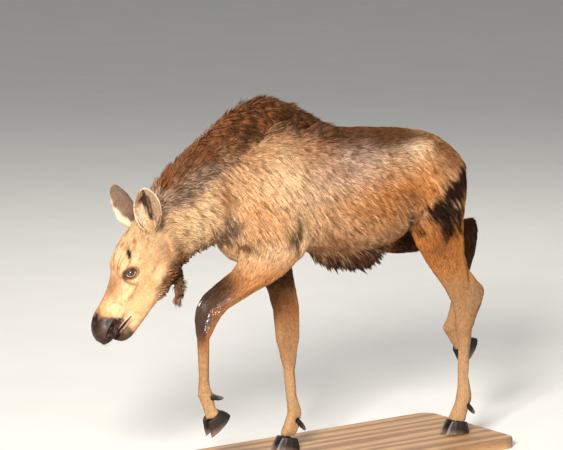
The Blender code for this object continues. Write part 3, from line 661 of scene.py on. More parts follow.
def down_leg(name):
    """The unit direction from a length of leg to the node that follows it on the way down."""
    below = name.replace("_gaskin", "") + "_cannon"
    if name.endswith("pastern"):
        below = "hoof_" + name.replace("leg", "").replace("_pastern", "_left_claw")
    elif name.endswith("cannon"):
        below = name.replace("cannon", "pastern")
    elif name.startswith("hindleg") and not name.endswith("gaskin"):
        below = name + "_gaskin"
        return np.array((middle(below) - middle(name)).normalized()) + THIGH_LEAN
    return np.array((middle(below) - middle(name)).normalized())


lie = np.zeros_like(points)
up_facing = fade(normals[:, 2], 0.15, 0.85)[:, None]
for number, name in enumerate(flesh_nodes):
    way = HANGING_LIE
    if name == "head":
        cheek = fade(-face[:, 2], 0.08, 0.20)[:, None]
        way = -np.array(head_nose) - 0.7 * cheek * np.array(head_brow) + 0.25 * normals
    elif name in BODY_LIE:
        above, beside = np.array(BODY_LIE[name])
        way = up_facing * above + (1 - up_facing) * beside
    elif name.startswith("ear"):
        root, tip = ear_axis(name)
        way = tip - root
    elif "leg" in name:
        way = down_leg(name)
    here = part == number
    lie[here] = unit(np.broadcast_to(way, points.shape))[here]
lie = averaged(lie, edges, 40)
lie = unit(lie - normals * (lie * normals).sum(1, keepdims=True))
print("lie of the coat set for", len(points), "points")

# %% [markdown]
# ## Markings
#
# A yearling in summer coat is many colours at once: a pale golden face with a dark muzzle, a
# rusty mane, a golden shoulder and flank under a greyer back, a brown belly with a nearly
# black fringe, a black-brown patch on the back of the thigh and pale lower legs. Each is a
# soft mask in body or head coordinates, laid over the ground colour in turn. Some masks paint
# light and shade instead: painted shade in the creases behind the shoulder and elbow, between
# chest and foreleg, between flank and thigh, on the sides of the legs that face each other,
# on the bell's top and inside the lips' slit, and painted highlights on the hip and the muzzle.
# Skin and coat both take their colour from this one function, so they always agree.

# %% Colours
TAN = srgb(0.75, 0.61, 0.455)
GOLD = srgb(0.71, 0.44, 0.205)
PALE = srgb(0.87, 0.75, 0.59)
CREAM = srgb(0.93, 0.84, 0.72)
FACE = srgb(0.77, 0.65, 0.49)
TAUPE = srgb(0.67, 0.56, 0.49)
RUST = srgb(0.49, 0.295, 0.165)
BROWN = srgb(0.50, 0.31, 0.18)
DARK = srgb(0.22, 0.13, 0.085)
BLACK = srgb(0.085, 0.050, 0.035)
PINK = srgb(0.72, 0.52, 0.44)
# Height of the crest at places along the body, from the poll to behind the shoulder.
CREST_X = (-0.66, -0.48, -0.32, -0.16, -0.02, 0.06)
CREST_Z = (1.14, 1.275, 1.365, 1.385, 1.335, 1.33)
PEDICEL = (0.140, -0.010)  # the dark spot where an antler would grow, along and up the head
MUZZLE_LINE = (  # up and along, where the bare dark muzzle begins
    (-0.16, 0.350), (-0.10, 0.376), (-0.072, 0.372), (-0.034, 0.384), (0.01, 0.390), (0.03, 0.392)
)


def laid_over(ground, *layers):
    """Lays colours over the ground in turn, each through its mask."""
    for colour, mask in layers:
        mask = np.clip(mask, 0, 1)[:, None]
        ground = ground * (1 - mask) + colour * mask
    return ground


def strokes(spots, seed, across=0.0045):
    """A noise of fine strokes that run down and back, as the hair on the side does."""
    along = 0.60 * spots[:, 0] - 0.80 * spots[:, 2]
    aside = 0.80 * spots[:, 0] + 0.60 * spots[:, 2]
    return noise(np.stack([0.12 * along, aside, 0.5 * spots[:, 1]], axis=1), across, seed)


def patch_maker(spots, wavy):
    """A function that makes soft marks on the side of the body, all with the same wavy edge."""
    flat = spots[:, [0, 2]] + wavy[:, None]

    def patch(strength, x, z, long, high):
        return strength * blob(flat, (x, z), (long, high))

    return patch


def shaded_inner_side(spots, outward):
    """1 where a leg faces the other side of the body: the side that gets painted shade."""
    return fade(-np.sign(spots[:, 1]) * outward[:, 1], 0.0, 0.5)


def body_colour(spots):
    """Trunk, neck and rump. Both sides are alike, so the sideways place is taken as its size."""
    x, side, z = spots[:, 0], np.abs(spots[:, 1]), spots[:, 2]
    wavy = 0.05 * (noise(spots, 0.12, 3) - 0.5) + 0.03 * (noise(spots, 0.05, 4) - 0.5)
    patch = patch_maker(spots, wavy)
    shaken = spots + 0.25 * wavy[:, None] * np.array((1, 0, 0))
    # fold is a mask for painted shade: the creases behind the shoulder and before the thigh, and the crease
    # behind the elbow.
    fold = 0.8 * crease(shaken, SHOULDER_CREASE, 0.013) * fade(z, 1.14, 0.93)
    fold += 0.9 * crease(shaken, FLANK_CREASE, 0.012) + patch(0.8, -0.172, 0.940, 0.026, 0.042)
    fold += patch(1, -0.135, 0.895, 0.016, 0.045)
    along_belly = fade(x, -0.17, -0.05) * fade(x, 0.46, 0.34)
    spine = fade(0.165 + wavy - side, 0.0, 0.085) * fade(x, -0.05, 0.08) * fade(z, 1.16, 1.25)
    spine *= fade(x, 0.66, 0.42)
    crest_height = np.interp(x, CREST_X, CREST_Z)
    frayed = wavy * 0.6 + 0.05 * (strokes(spots, 11, 0.008) - 0.5)
    depth_of_mane = np.interp(x, (-0.62, -0.50, -0.35), (0.025, 0.050, 0.085))
    mane = fade(z + frayed, crest_height - depth_of_mane, crest_height) * fade(x + frayed, 0.11, 0.05)
    under = fade(z + wavy, crest_height - 0.12, crest_height - 0.05) * fade(x, -0.38, -0.50)
    below = fade(z + wavy, crest_height - 0.22, crest_height - 0.07) * fade(x, -0.48, -0.34)
    streak = noise(spots * np.array((1, 1, 0.6)), 0.022, 9)
    rear = fade(x + 0.6 * wavy, 0.625, 0.690) * fade(z, 0.92, 1.0)
    hairs = strokes(spots, 10)
    return laid_over(
        np.broadcast_to(TAN, spots.shape),
        (GOLD, patch(0.8, 0.33, 1.07, 0.20, 0.13) + patch(0.6, -0.28, 1.06, 0.12, 0.12)),
        (PALE, patch(0.45, -0.20, 1.16, 0.12, 0.12) + patch(0.4, -0.56, 1.03, 0.08, 0.07)),
        (TAUPE, patch(0.95, 0.09, 1.22, 0.17, 0.12) + patch(0.6, 0.26, 1.25, 0.15, 0.06)),
        (TAUPE, patch(0.5, -0.03, 1.09, 0.09, 0.07)),
        (GOLD * 0.8, patch(0.85, 0.23, 1.03, 0.27, 0.080)),
        # Painted highlight: a pale spot on the top of the hip.
        (CREAM * 0.8, patch(0.55, 0.415, 1.21, 0.06, 0.045)),
        (RUST * 1.1, 0.85 * fade(x + wavy, 0.40, 0.62) * fade(z, 1.02, 1.20)),
        (GOLD, patch(0.75, 0.46, 1.06, 0.07, 0.09)),
        (RUST * 0.75, patch(0.60, 0.62, 1.18, 0.070, 0.085)),
        (BROWN * 1.2, 0.75 * fade(z + wavy, 1.04, 0.86) * fade(x, -0.12, 0.02)),
        # The first brown patch is painted shade in the hollow between flank and thigh.
        (BROWN, patch(0.55, 0.33, 1.01, 0.09, 0.05) + patch(0.75, -0.455, 1.09, 0.038, 0.14)),
        # Painted shade in the creases and behind the elbow, through the fold mask.
        (DARK * 0.5, 0.90 * np.clip(1.3 * fold, 0, 1)),
        (BROWN, 0.7 * fade(z + wavy, 0.96, 0.87) * fade(x, -0.30, -0.45)),
        # Painted shade in the fold between chest and foreleg, as a dark grey patch and a brown one below it.
        (TAUPE * 0.22, 0.9 * np.clip(patch(1.4, -0.415, 0.990, 0.042, 0.046), 0, 1)),
        (BROWN * 0.4, 0.9 * np.clip(patch(1.4, -0.365, 0.940, 0.046, 0.026), 0, 1)),
        (DARK, 0.92 * fade(z + 0.7 * wavy, 0.865, 0.805) * along_belly),
        (BROWN * 0.36, 0.97 * spine),
        (TAUPE * 0.74, 0.8 * under),
        (RUST * 1.25, 0.60 * below * fade(x, 0.10, 0.0)),
        (BROWN * 0.45, 0.88 * rear),
        (BROWN * 0.6, 0.62 * fade(hairs, 0.54, 0.82)),
        (PALE, 0.38 * (1 - 0.8 * spine) * fade(hairs, 0.40, 0.16)),
        (RUST, 0.95 * mane),
        (DARK, 0.55 * mane * fade(streak, 0.5, 0.8)),
    )


def thigh_colour(spots, outward, ground):
    """The black-brown patch on the back of the thigh with gold round it, a painted shade line at the thigh's
    front edge and painted shade on the side facing the other leg.
    """
    x, z = spots[:, 0], spots[:, 2]
    patch = patch_maker(spots, 0.035 * (noise(spots, 0.06, 12) - 0.5))
    ragged = 0.7 * strokes(spots, 14, 0.009) + 0.5 * strokes(spots, 16, 0.004) - 0.6
    dark = patch(1, 0.525, 0.975, 0.064, 0.055) + patch(1, 0.570, 0.880, 0.042, 0.062)
    dark += patch(1, 0.610, 1.045, 0.054, 0.045) + patch(1, 0.665, 1.085, 0.036, 0.055)
    dark += patch(0.65, 0.455, 0.885, 0.034, 0.028) + patch(0.60, 0.640, 0.93, 0.030, 0.11)
    outer = fade(np.abs(spots[:, 1]), 0.09, 0.13)
    # Painted shade: the side of the hind leg that faces the other leg is darkened, as if in the body's
    # shadow.
    inner_shade = shaded_inner_side(spots, outward) * fade(z, 0.56, 0.68)
    return laid_over(
        ground,
        (GOLD * 0.75, 0.75 * fade(z, 0.98, 0.84) * fade(z, 0.60, 0.74)),
        (BROWN * 0.7, patch(0.7, 0.545, 0.80, 0.07, 0.035)),
        (DARK * 0.25, 0.98 * fade(dark + ragged, 0.22, 0.80) * outer),
        # Painted shade: a narrow dark line along the front edge of the thigh, where it meets the flank.
        (BROWN * 0.5, patch(0.75, 0.435, 0.93, 0.012, 0.050)),
        (GOLD, patch(0.7, 0.670, 0.92, 0.022, 0.10) * fade(ragged, 0.25, -0.1)),
        (DARK * 0.7, 0.90 * inner_shade * fade(x, 0.40, 0.55)),
    )


def leg_colour(spots, ground):
    """Gold-brown below the elbow and stifle, and greyer from the middle of the cannon down."""
    z = spots[:, 2] + 0.03 * (noise(spots, 0.05, 15) - 0.5)
    return laid_over(
        ground,
        (TAN * 0.30 + GOLD * 0.22, fade(z, 0.82, 0.68)),
        (TAN * np.array((0.68, 0.65, 0.62)), 0.7 * fade(z, 0.45, 0.30)),
    )


def foreleg_colour(spots, outward, ground):
    """Dark brown down the front of forearm and knee, where it is often wet, and painted shade on the side
    facing the other leg.
    """
    x, z = spots[:, 0], spots[:, 2]
    wavy = 0.30 * (noise(spots, 0.04, 18) - 0.5)
    wavy += 0.35 * (noise(spots * np.array((1, 1, 0.5)), 0.010, 19) - 0.5)
    facing = 0.45 * outward[:, 2] - outward[:, 0] + wavy
    near = spots[:, 1] < 0
    reach = np.where(near, fade(x, -0.36, -0.50), 0.6)
    high, low = fade(z, 0.93, 0.80), fade(z, 0.50, 0.62)
    # Painted shade: the side of the foreleg that faces the other leg, for points behind x = -0.30, is
    # darkened as if in the body's shadow.
    inner_shade = shaded_inner_side(spots, outward) * (x > -0.30)
    return laid_over(
        leg_colour(spots, laid_over(ground, (TAN * 1.15, 0.75 * high))),
        (GOLD * 0.85, 0.80 * fade(z, 0.90, 0.78) * low * np.where(near, 1.0, 0.8)),
        (BROWN * 0.8, 0.80 * fade(facing, -0.60, 0.0) * high * low * reach),
        (DARK * 0.6, 0.95 * fade(facing, -0.28, 0.40) * high * low * reach),
        (DARK * 0.8, 0.85 * inner_shade * fade(z + wavy * 0.1, 0.66, 0.72)),
    )


def face_colour(spots):
    """In head coordinates: along to the nose, sideways from the middle, up out of the forehead."""
    head = to_head(spots)
    along, side, up = head[:, 0], np.abs(head[:, 1]), head[:, 2]
    both = np.stack([along, side, up], axis=1)
    wavy = 0.03 * (noise(spots, 0.03, 21) - 0.5) + 0.016 * (noise(spots, 0.012, 22) - 0.5)
    bridge = blob(both + 0.7 * wavy[:, None], (0.275, 0.026, -0.020), (0.065, 0.042, 0.026))
    jaw = fade(-up + wavy, 0.158, 0.190) * fade(along, 0.26, 0.18)
    brow = fade(noise(head * np.array((0.28, 1.0, 0.6)), 0.0065, 24), 0.52, 0.80)
    on_top = fade(up, -0.045, -0.010) * fade(along, 0.30, 0.20)
    mottle = noise(head * np.array((0.5, 1.0, 0.8)), 0.020, 27) + 0.5 * noise(spots, 0.007, 28)
    beyond, above = along - PEDICEL[0], up - PEDICEL[1]
    down, ahead = 0.875 * beyond - 0.485 * above, 0.485 * beyond + 0.875 * above
    pedicel = np.exp(-((down / 0.017) ** 2) - (((ahead + 0.3 * wavy) / 0.0065) ** 2)) * (side > 0.03)
    down, ahead = down + 0.034, ahead - 0.020
    tick = np.exp(-((down / 0.014) ** 2) - (((ahead + 0.4 * wavy) / 0.004) ** 2)) * (side > 0.012)
    colour = laid_over(
        np.broadcast_to(TAN * 0.9, spots.shape),
        (FACE, 0.85 * fade(along, 0.02, 0.16)),
        (GOLD, 0.35 * blob(both, (0.30, 0.05, -0.15), (0.10, 0.05, 0.05))),
        (BROWN * 1.2, 0.60 * blob(both, (0.07, 0.075, -0.15), (0.06, 0.05, 0.05))),
        (GOLD * 0.9, 0.30 * blob(both, (0.22, 0.06, -0.11), (0.05, 0.05, 0.030))),
        (BROWN * 0.85 + PINK * 0.06, 0.85 * np.clip(1.2 * bridge, 0, 1)),
        (GOLD, 0.25 * blob(both, (0.150, 0.080, -0.080), (0.035, 0.05, 0.022))),
        (DARK, 0.90 * jaw),
        (GOLD * 0.55, 0.75 * brow * on_top),
        (GOLD * 0.72, 0.50 * fade(mottle, 0.70, 1.15)),
        (BROWN, 0.55 * brow * on_top * fade(noise(spots, 0.02, 25), 0.55, 0.75)),
        (BLACK, 1.6 * pedicel),
        (BROWN * 0.6, 0.85 * np.clip(1.4 * tick, 0, 1)),
    )
    for sign in (1, -1):
        offset, distance, almond = eye_angles(head, sign)
        near = (distance < 0.08) * (head[:, 1] * sign > 0)
        level_ahead, ring = eye_ring(offset)
        far = ring + 6 * wavy
        front = fade(level_ahead, 0.010, 0.022) * fade(far, 1.25, 0.95)
        tight = np.clip(1.3 * hump(np.maximum(almond - 1.08, 0), 0.22), 0, 1)
        lids = near * fade(ring, 1.05, 0.85)
        wrinkle = hump(far - 0.80, 0.06) + 0.7 * hump(far - 1.0, 0.06)
        colour = laid_over(
            colour,
            (BROWN * 0.50, 0.90 * fade(far, 1.20, 0.85) * near),
            (DARK * 1.1, 0.75 * front * near),
            (DARK * 0.7, 0.9 * tight * lids),
            (TAN * 0.8, 0.45 * wrinkle * near * fade(level_ahead, 0.010, -0.004)),
            (PINK * 0.7, 0.75 * fade(almond, 1.10, 1.02) * lids),
        )
    tear = fold_distance(head)
    edge = np.interp(up, *np.array(MUZZLE_LINE).T)
    muzzle = fade(along + wavy, edge - 0.010, edge + 0.014) * fade(up, -0.150, -0.125)
    above_muzzle = fade(along + wavy, edge - 0.045, edge) * fade(up, -0.09, -0.03)
    blotch = fade(noise(spots, 0.009, 26), 0.55, 0.85)
    gap, run = mouth_distance(head)
    half = mouth_half(run)
    lower = fade(-(up - np.interp(along, *np.array(MOUTH_LINE).T)), -0.002, 0.004)
    chin = fade(along + 1.6 * wavy, 0.372, 0.412) * fade(gap, half + 0.003, half + 0.007)
    margin = fade(gap, half + 0.008, half + 0.004) * fade(run, -0.016, 0.0)
    lip_edge = margin * (1 - lower) * fade(run, 0.075, 0.045)
    return laid_over(
        colour,
        (DARK, 0.85 * hump(tear, 0.0028) * (side > 0.03)),
        (BROWN * 0.8, 0.45 * hump(tear, 0.010) * (side > 0.03)),
        (GOLD * 0.75, 0.65 * above_muzzle),
        (DARK * 0.30, muzzle),
        (BROWN * 0.5, 0.50 * muzzle * blotch),
        # Painted highlight: a faint pinkish sheen on the muzzle beside the nostril.
        (PINK * 0.4, 0.22 * muzzle * blob(both, (0.449, 0.055, -0.050), (0.020, 0.03, 0.016))),
        (DARK * 0.5, 0.93 * chin * lower),
        (PINK * 0.75, 0.75 * margin * lower * fade(run, 0.10, 0.04)),
        (CREAM * 0.8, 0.70 * lip_edge),
        (DARK * 0.6, 0.9 * margin * (1 - lower) * fade(run, 0.05, 0.08)),
        # Painted shade: black inside the slit between the lips.
        (BLACK * 0.5, fade(gap, half + 0.0015, half)),
    )


def ear_place(name, spots):
    """How far along an ear, how far across it (1 at its front rim, -1 at its back rim), and its opening."""
    root, tip = ear_axis(name)
    axis = (tip - root) / np.linalg.norm(tip - root)
    opening = np.array(EAR_OPENING[name]) @ head_axes
    opening -= axis * (opening @ axis)
    opening /= np.linalg.norm(opening)
    forward = np.cross(axis, opening)
    forward *= np.sign(forward @ np.array(head_nose))
    run = (spots - root) @ axis / np.linalg.norm(tip - root)
    half = EAR_WIDTH / 2 * np.interp(run, (0, 0.3, 0.58, 0.86, 1), (0.5, 0.88, 1.0, 0.69, 0.2))
    return run, (spots - root) @ forward / half, opening, forward, axis


def ear_colour(spots, outward, belongs, ground):
    """Grey-brown outside; inside tan with a ragged dark hollow, and a thin cream rim."""
    left = to_head(spots)[:, 1] > 0
    for name, here in (("ear_left", left), ("ear_right", ~left)):
        run, across, opening, _, _ = ear_place(name, spots)
        facing = outward @ opening
        grain = np.stack([run * 0.035, across * 0.05, 0 * run], axis=1)
        ragged = across + 0.38 * (noise(grain, 0.006, 33) - 0.5) + 0.2 * (noise(grain, 0.0025, 34) - 0.5)
        tufty = fade(ragged, 0.15, 0.35) * fade(run, 0.12, 0.2) * fade(run, 0.66, 0.5)
        centre = np.interp(run, (0.20, 0.45, 0.65, 0.80), (-0.12, 0.02, 0.14, 0.05))
        wide = np.interp(run, (0.12, 0.30, 0.50, 0.68, 0.86), (0.10, 0.18, 0.28, 0.46, 0.10))
        hollow = hump(ragged - centre, wide) * fade(run, 0.10, 0.22)
        back = laid_over(
            np.broadcast_to(TAUPE * 0.36, spots.shape),
            (BROWN * 0.5, 0.6 * noise(spots, 0.010, 31)),
            (DARK, 0.5 * fade(run, 0.35, 0.10)),
        )
        cup = laid_over(
            np.broadcast_to(TAN * 0.85, spots.shape),
            (TAUPE * 0.9, 0.5 * fade(ragged, 0.1, -0.3)),
            (BROWN * 0.8, 0.5 * fade(noise(grain, 0.004, 35), 0.55, 0.8)),
            (CREAM, 0.7 * tufty),
            (DARK * 0.6, np.clip(1.5 * hollow, 0, 0.96)),
        )
        inside = fade(facing, -0.1, 0.35)[:, None]
        edge = np.maximum(fade(np.abs(across), 0.90, 1.0), fade(run, 0.95, 0.99))
        edge *= 0.35 + 0.65 * fade(facing, -0.7, 0.1)
        shade = laid_over(back * (1 - inside) + cup * inside, (CREAM * 0.85, 0.80 * edge))
        ground = laid_over(ground, (shade, belongs * here))
    return ground


def coat_colour(spots, outward, shares):
    """The colour of skin and coat at any point, from its place, its normal and its part."""
    x, z = spots[:, 0], spots[:, 2]
    body = body_colour(spots)
    body = laid_over(body, (thigh_colour(spots, outward, body), fade(x, 0.34, 0.42)))
    hind = thigh_colour(spots, outward, leg_colour(spots, body))
    body = laid_over(body, (hind, shares["leg"] * (x > 0.25)))
    fore = foreleg_colour(spots, outward, body)
    # The bell is painted darker above, as painted shade under the throat, and pinkish below.
    bell = laid_over(np.broadcast_to(BROWN * 0.45, spots.shape), (PINK * 0.62, 0.80 * fade(z, 0.80, 0.72)))
    body = laid_over(
        body,
        (fore, shares["leg"] * (x < 0.25)),
        (face_colour(spots), shares["head"]),
        (bell, shares["bell"]),
        (BROWN * 0.8, shares["tail"]),
    )
    return ear_colour(spots, outward, shares["ear"], body)


shares = {"head": head_share, "ear": ear_share, "leg": leg_share, "bell": bell_share, "tail": tail_share}
colour = coat_colour(points, normals, shares)
print("mean colour", np.round(colour.mean(0), 3))

# %% [markdown]
# ## Wet and bare places
#
# The muzzle, the lips and the lid rims are bare, dark and wet; the knee and forearm are wet
# from wading. One mask per point says how wet the skin is and another how bare, and the
# materials turn them into roughness and into leathery bumps instead of fur.

# %% Masks
head_along, head_up = face[:, 0], face[:, 2]
is_head = head_share > 0.5
muzzle_edge = np.interp(head_up, (-0.16, -0.10, -0.055, 0.01, 0.03), (0.350, 0.372, 0.366, 0.398, 0.400))
bare = fade(head_along, muzzle_edge, muzzle_edge + 0.03) * is_head
lip_gap, lip_run = mouth_distance(face)
bare = np.maximum(bare, fade(lip_gap, 0.012, 0.005) * is_head * (lip_run > -0.01))
for sign in (1, -1):
    offset, eye_distance, almond = eye_angles(face, sign)
    near_eye = (eye_distance < 0.05) & (face[:, 1] * sign > 0) & is_head
    bare = np.maximum(bare, fade(almond, 1.28, 1.08) * near_eye * fade(eye_ring(offset)[1], 1.0, 0.8))
wading = fade(z, 0.80, 0.70) * fade(z, 0.56, 0.62) * (leg_share > 0.5)
splashed = 0.45 + 0.55 * fade(noise(points, 0.02, 37), 0.4, 0.6)
wet = np.maximum(bare, wading * (x < -0.40) * splashed)
set_colour(skin, "coat", colour)
set_value(skin, "bare", bare)
set_value(skin, "wet", wet)
print("bare points:", int((bare > 0.5).sum()), "wet points:", int((wet > 0.5).sum()))

# %% [markdown]
# ## A light skin under the coat
#
# The fields are in place, so the skin can lose the points that the coat will hide. Collapse
# decimation thins the body to a ninth and leaves head and ears as they are. The full mesh is
# kept a little longer as arrays, because the tufts are rooted on it.

# %% Thin the skin
SKIN_TRIANGLES = 175000
HEAD_AHEAD = -0.55  # the head lies ahead of this

kept = (head_share + ear_share > 0.3) & (x < HEAD_AHEAD)
thinned = skin.vertex_groups.new(name="thinned")
thinned.add([int(i) for i in np.flatnonzero(~kept)], 1.0, "REPLACE")
light = skin.modifiers.new("light", "DECIMATE")
light.vertex_group = "thinned"
light.ratio = SKIN_TRIANGLES / len(triangles)
evaluated(skin)
skin.vertex_groups.clear()
print("skin:", len(skin.data.polygons), "triangles, of which the head", int(kept[triangles[:, 0]].sum()))

# %% [markdown]
# ## An unwrap for the coat
#
# An exported model keeps its colours as pictures, so every tuft needs a place in one. A
# small copy of the skin is unwrapped by its own shape. Each tuft then finds its root on that
# copy and takes a patch of the map there, three thousandths across.

# %% Unwrap a small copy of the skin
UNWRAP_TRIANGLES = 6000
PATCH = 0.003

small = placed("small", skin.data.copy())
fewer = small.modifiers.new("fewer", "DECIMATE")
fewer.ratio = UNWRAP_TRIANGLES / len(small.data.polygons)
evaluated(small)
bpy.context.view_layer.objects.active = small
small.select_set(True)
bpy.ops.object.mode_set(mode="EDIT")
bpy.ops.mesh.select_all(action="SELECT")
bpy.ops.uv.smart_project(angle_limit=math.radians(66), island_margin=0.004)
bpy.ops.object.mode_set(mode="OBJECT")
small_points = vertex_array(small)
small_triangles = face_array(small, 3)
small_uv = fetched(small.data.uv_layers.active.uv, "vector", 2).reshape(-1, 3, 2)
small_tree = BVHTree.FromPolygons(small_points.tolist(), small_triangles.tolist())
bpy.data.objects.remove(small)
print("unwrap on", len(small_triangles), "triangles")


def unwrapped(spots):
    """Where each root lies on the unwrap of the skin."""
    found = [small_tree.find_nearest(spot) for spot in spots]
    near = np.array([f[0] for f in found])
    on = [f[2] for f in found]
    a, b, c = (small_points[small_triangles[on, k]] for k in range(3))
    normal = np.cross(b - a, c - a)
    area = np.maximum((normal * normal).sum(1), 1e-18)
    second = (np.cross(near - a, c - a) * normal).sum(1) / area
    third = (np.cross(b - a, near - a) * normal).sum(1) / area
    weights = np.stack([1 - second - third, second, third], axis=1)[:, :, None]
    return (small_uv[on] * weights).sum(1)

# %% [markdown]
# ## Tufts
#
# A tuft is one small closed solid: a three-sided spike whose lower rib lies in the skin. On
# trunk, face and legs it is a plain spike of four faces; a long one, such as in mane and
# fringe, has a ring or two on its way, so that it can bend. All tufts of a piece are built
# at once as arrays: roots are scattered on the skin's triangles by area and wish, and the
# lie is stirred by a slow noise, so that neighbours gather in locks as real fur does.

# %% Tuft maker
ROOT_SUNK = 0.0008  # how deep a root lies under the skin's surface
DARK_HAIR = 0.45  # how bright a dark tuft is beside its neighbours
BLEACH = 0.65  # how far the tip of a sun-bleached tuft goes to tan
RIB_HEIGHT = 0.42  # the height of a tuft's upper rib, as a share of its width
RING_WIDTHS = (0.55, 1.0, 0.72)  # how wide a tuft with rings is at its root and at each ring
LAST_RING = 0.9  # where the last ring would be, as a share of the length, if it were the tip
corner_spots = points[triangles]
sides = corner_spots[:, 1:] - corner_spots[:, :1]
triangle_area = np.linalg.norm(np.cross(sides[:, 0], sides[:, 1]), axis=1) / 2
skin_tree = BVHTree.FromPolygons(points.tolist(), triangles.tolist())


def scattered(wish, count):
    """Roots on the skin, as triangle numbers and weights of their corners."""
    chance = triangle_area * np.clip(wish[triangles].mean(1), 0, None)
    chosen = rng.choice(len(triangles), count, p=chance / chance.sum())
    first, second = np.sqrt(rng.random(count)), rng.random(count)
    return chosen, np.stack([1 - first, first * (1 - second), first * second], axis=1)


def at_roots(values, chosen, weights):
    found = values[triangles[chosen]]
    return (found * (weights[:, :, None] if found.ndim == 3 else weights)).sum(1)


def turned(vectors, axes, angles):
    """Vectors turned about unit axes they stand square to."""
    return vectors * np.cos(angles)[:, None] + np.cross(axes, vectors) * np.sin(angles)[:, None]


def on_skin(spots):
    """The nearest places on the skin, and the way straight out of it there."""
    found = [skin_tree.find_nearest(spot) for spot in spots]
    return np.array([f[0] for f in found]), np.array([f[1] for f in found])


def gathered(tips, root, cell):
    """The middle of the tips of all tufts that are rooted in the same cell: the tip of their lock."""
    bent = root + 0.6 * cell * (noise(root, cell * 1.7, 47)[:, None] - 0.5)
    _, lock = np.unique(np.floor(bent / cell).astype(int), axis=0, return_inverse=True)
    lock = lock.ravel()
    count = np.bincount(lock)[:, None]
    return np.stack([np.bincount(lock, tips[:, k]) for k in range(3)], axis=1)[lock] / count[lock]


def tuft_faces(rings):
    """The triangles of one tuft: its root, the bands between its rings and its pointed end."""
    around = ((0, 1), (1, 2), (2, 0))
    shape = [(0, 2, 1)]
    for low in range(0, 3 * rings, 3):
        for i, j in around:
            shape += [(low + i, low + j, low + 3 + j), (low + i, low + 3 + j, low + 3 + i)]
    last = 3 * rings
    return np.array(shape + [(last + i, last + j, last + 3) for i, j in around])


def coat(
    name, wish, count, length, width, lift, stir=0.22, rings=1, flow=None, droop=0.0, flecks=0.12,
    spread=0.40, hug=False, lock=0.015, pull=0.3, ragged=0.0, pale=0.0,
):
    """A piece of coat. Length, width and lift are given for each point of the skin or as one number.

    Stir turns the tufts about, droop lets them hang, flecks is the share of dark ones, spread
    is how unlike in brightness they are, pull draws the tips of each lock together and ragged
    is how unlike in length the locks are. Pale is the share with sun-bleached tips. With hug,
    a tuft follows the skin's curve under it.
    """
    chosen, weights = scattered(wish, count)
    root = at_roots(points, chosen, weights)
    out = unit(at_roots(normals, chosen, weights))
    way = at_roots(lie if flow is None else flow, chosen, weights)
    way = unit(way - out * (way * out).sum(1, keepdims=True))
    shade = at_roots(colour, chosen, weights)
    measures = [np.broadcast_to(np.asarray(v, float), len(points)) for v in (length, width, lift)]
    long, wide, rise = (at_roots(v, chosen, weights) for v in measures)
    bend = noise(root, 0.055, 41) + 0.5 * noise(root, 0.020, 42) - 0.75
    way = turned(way, out, 2.6 * stir * bend + stir * 0.7 * rng.standard_normal(count))
    side = np.cross(out, way)
    long = long * (0.78 + 0.30 * noise(root, 0.02, 43) + 0.28 * (rng.random(count) - 0.5))
    long = long * (1 + ragged * (2 * noise(root, lock, 46) - 1))
    wide = wide * (0.8 + 0.4 * rng.random(count))
    rise = rise * (0.65 + 0.7 * noise(root, 0.025, 44) + 0.25 * (rng.random(count) - 0.5))
    start = root - out * ROOT_SUNK
    stages = [0.0] + [(k + 1) / (rings + 1) * LAST_RING for k in range(rings)]
    spots = np.empty((count, 3 * len(stages) + 1, 3))

    def along_tuft(stage):
        height = (np.sin(rise) * long * (stage - 0.25 * stage * stage))[:, None]
        place = start + way * (np.cos(rise) * long * stage)[:, None]
        if hug and stage > 0:
            place, away = on_skin(place)
            return place + away * height
        place = place + out * height
        place[:, 2] -= droop * long * stage * stage
        return place

    tip = along_tuft(1.0)
    shift = pull * (gathered(tip, root, lock) - tip)
    for k, stage in enumerate(stages):
        centre = along_tuft(stage) + shift * stage * stage
        swell = RING_WIDTHS[k] if rings > 0 else 1.0
        spots[:, 3 * k] = centre - side * (wide * swell * 0.5)[:, None]
        spots[:, 3 * k + 1] = centre + side * (wide * swell * 0.5)[:, None]
        spots[:, 3 * k + 2] = centre + out * (wide * swell * RIB_HEIGHT)[:, None]
    spots[:, -1] = tip + shift
    faces = (np.arange(count)[:, None, None] * spots.shape[1] + tuft_faces(rings)).reshape(-1, 3)
    made = mesh_object(name, spots.reshape(-1, 3), faces, smooth=rings > 0)
    bright = 1 + spread * (rng.random(count) - 0.5) + 0.5 * spread * (noise(root, 0.008, 45) - 0.5)
    bright = np.where(rng.random(count) < flecks, bright * DARK_HAIR, bright)
    along = np.repeat(np.array([*stages, 1.0]), [3] * len(stages) + [1])
    # Painted shade among the hairs: each tuft is darker at its root and lighter towards its tip.
    root_shade_ramp = 0.62 + 0.54 * along
    shade = shade[:, None, :] * (bright[:, None] * root_shade_ramp)[:, :, None]
    if pale:
        bleached = (rng.random(count) < pale)[:, None] * np.clip(along * 2 - 1, 0, 1)
        shade = shade + BLEACH * bleached[:, :, None] * (TAN - shade)
    set_colour(made, "coat", shade.reshape(-1, 3))
    set_value(made, "wet", np.repeat(at_roots(wet, chosen, weights), spots.shape[1]))
    across = np.tile(np.array((-0.5, 0.5, 0.0)), len(stages))
    patch = np.stack([np.append(across, 0.0), along - 0.5], axis=1) * PATCH
    uv = (unwrapped(root)[:, None, :] + patch).reshape(-1, 2)
    layer = made.data.uv_layers.new(name="OFBake")
    layer.uv.foreach_set("vector", uv[faces.ravel()].astype(np.float32).ravel())
    made.data.materials.append(fur)
    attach(made, "root")
    print(f"{name}: {count} tufts, {len(faces)} triangles, {np.median(long) * 1000:.0f} mm long")

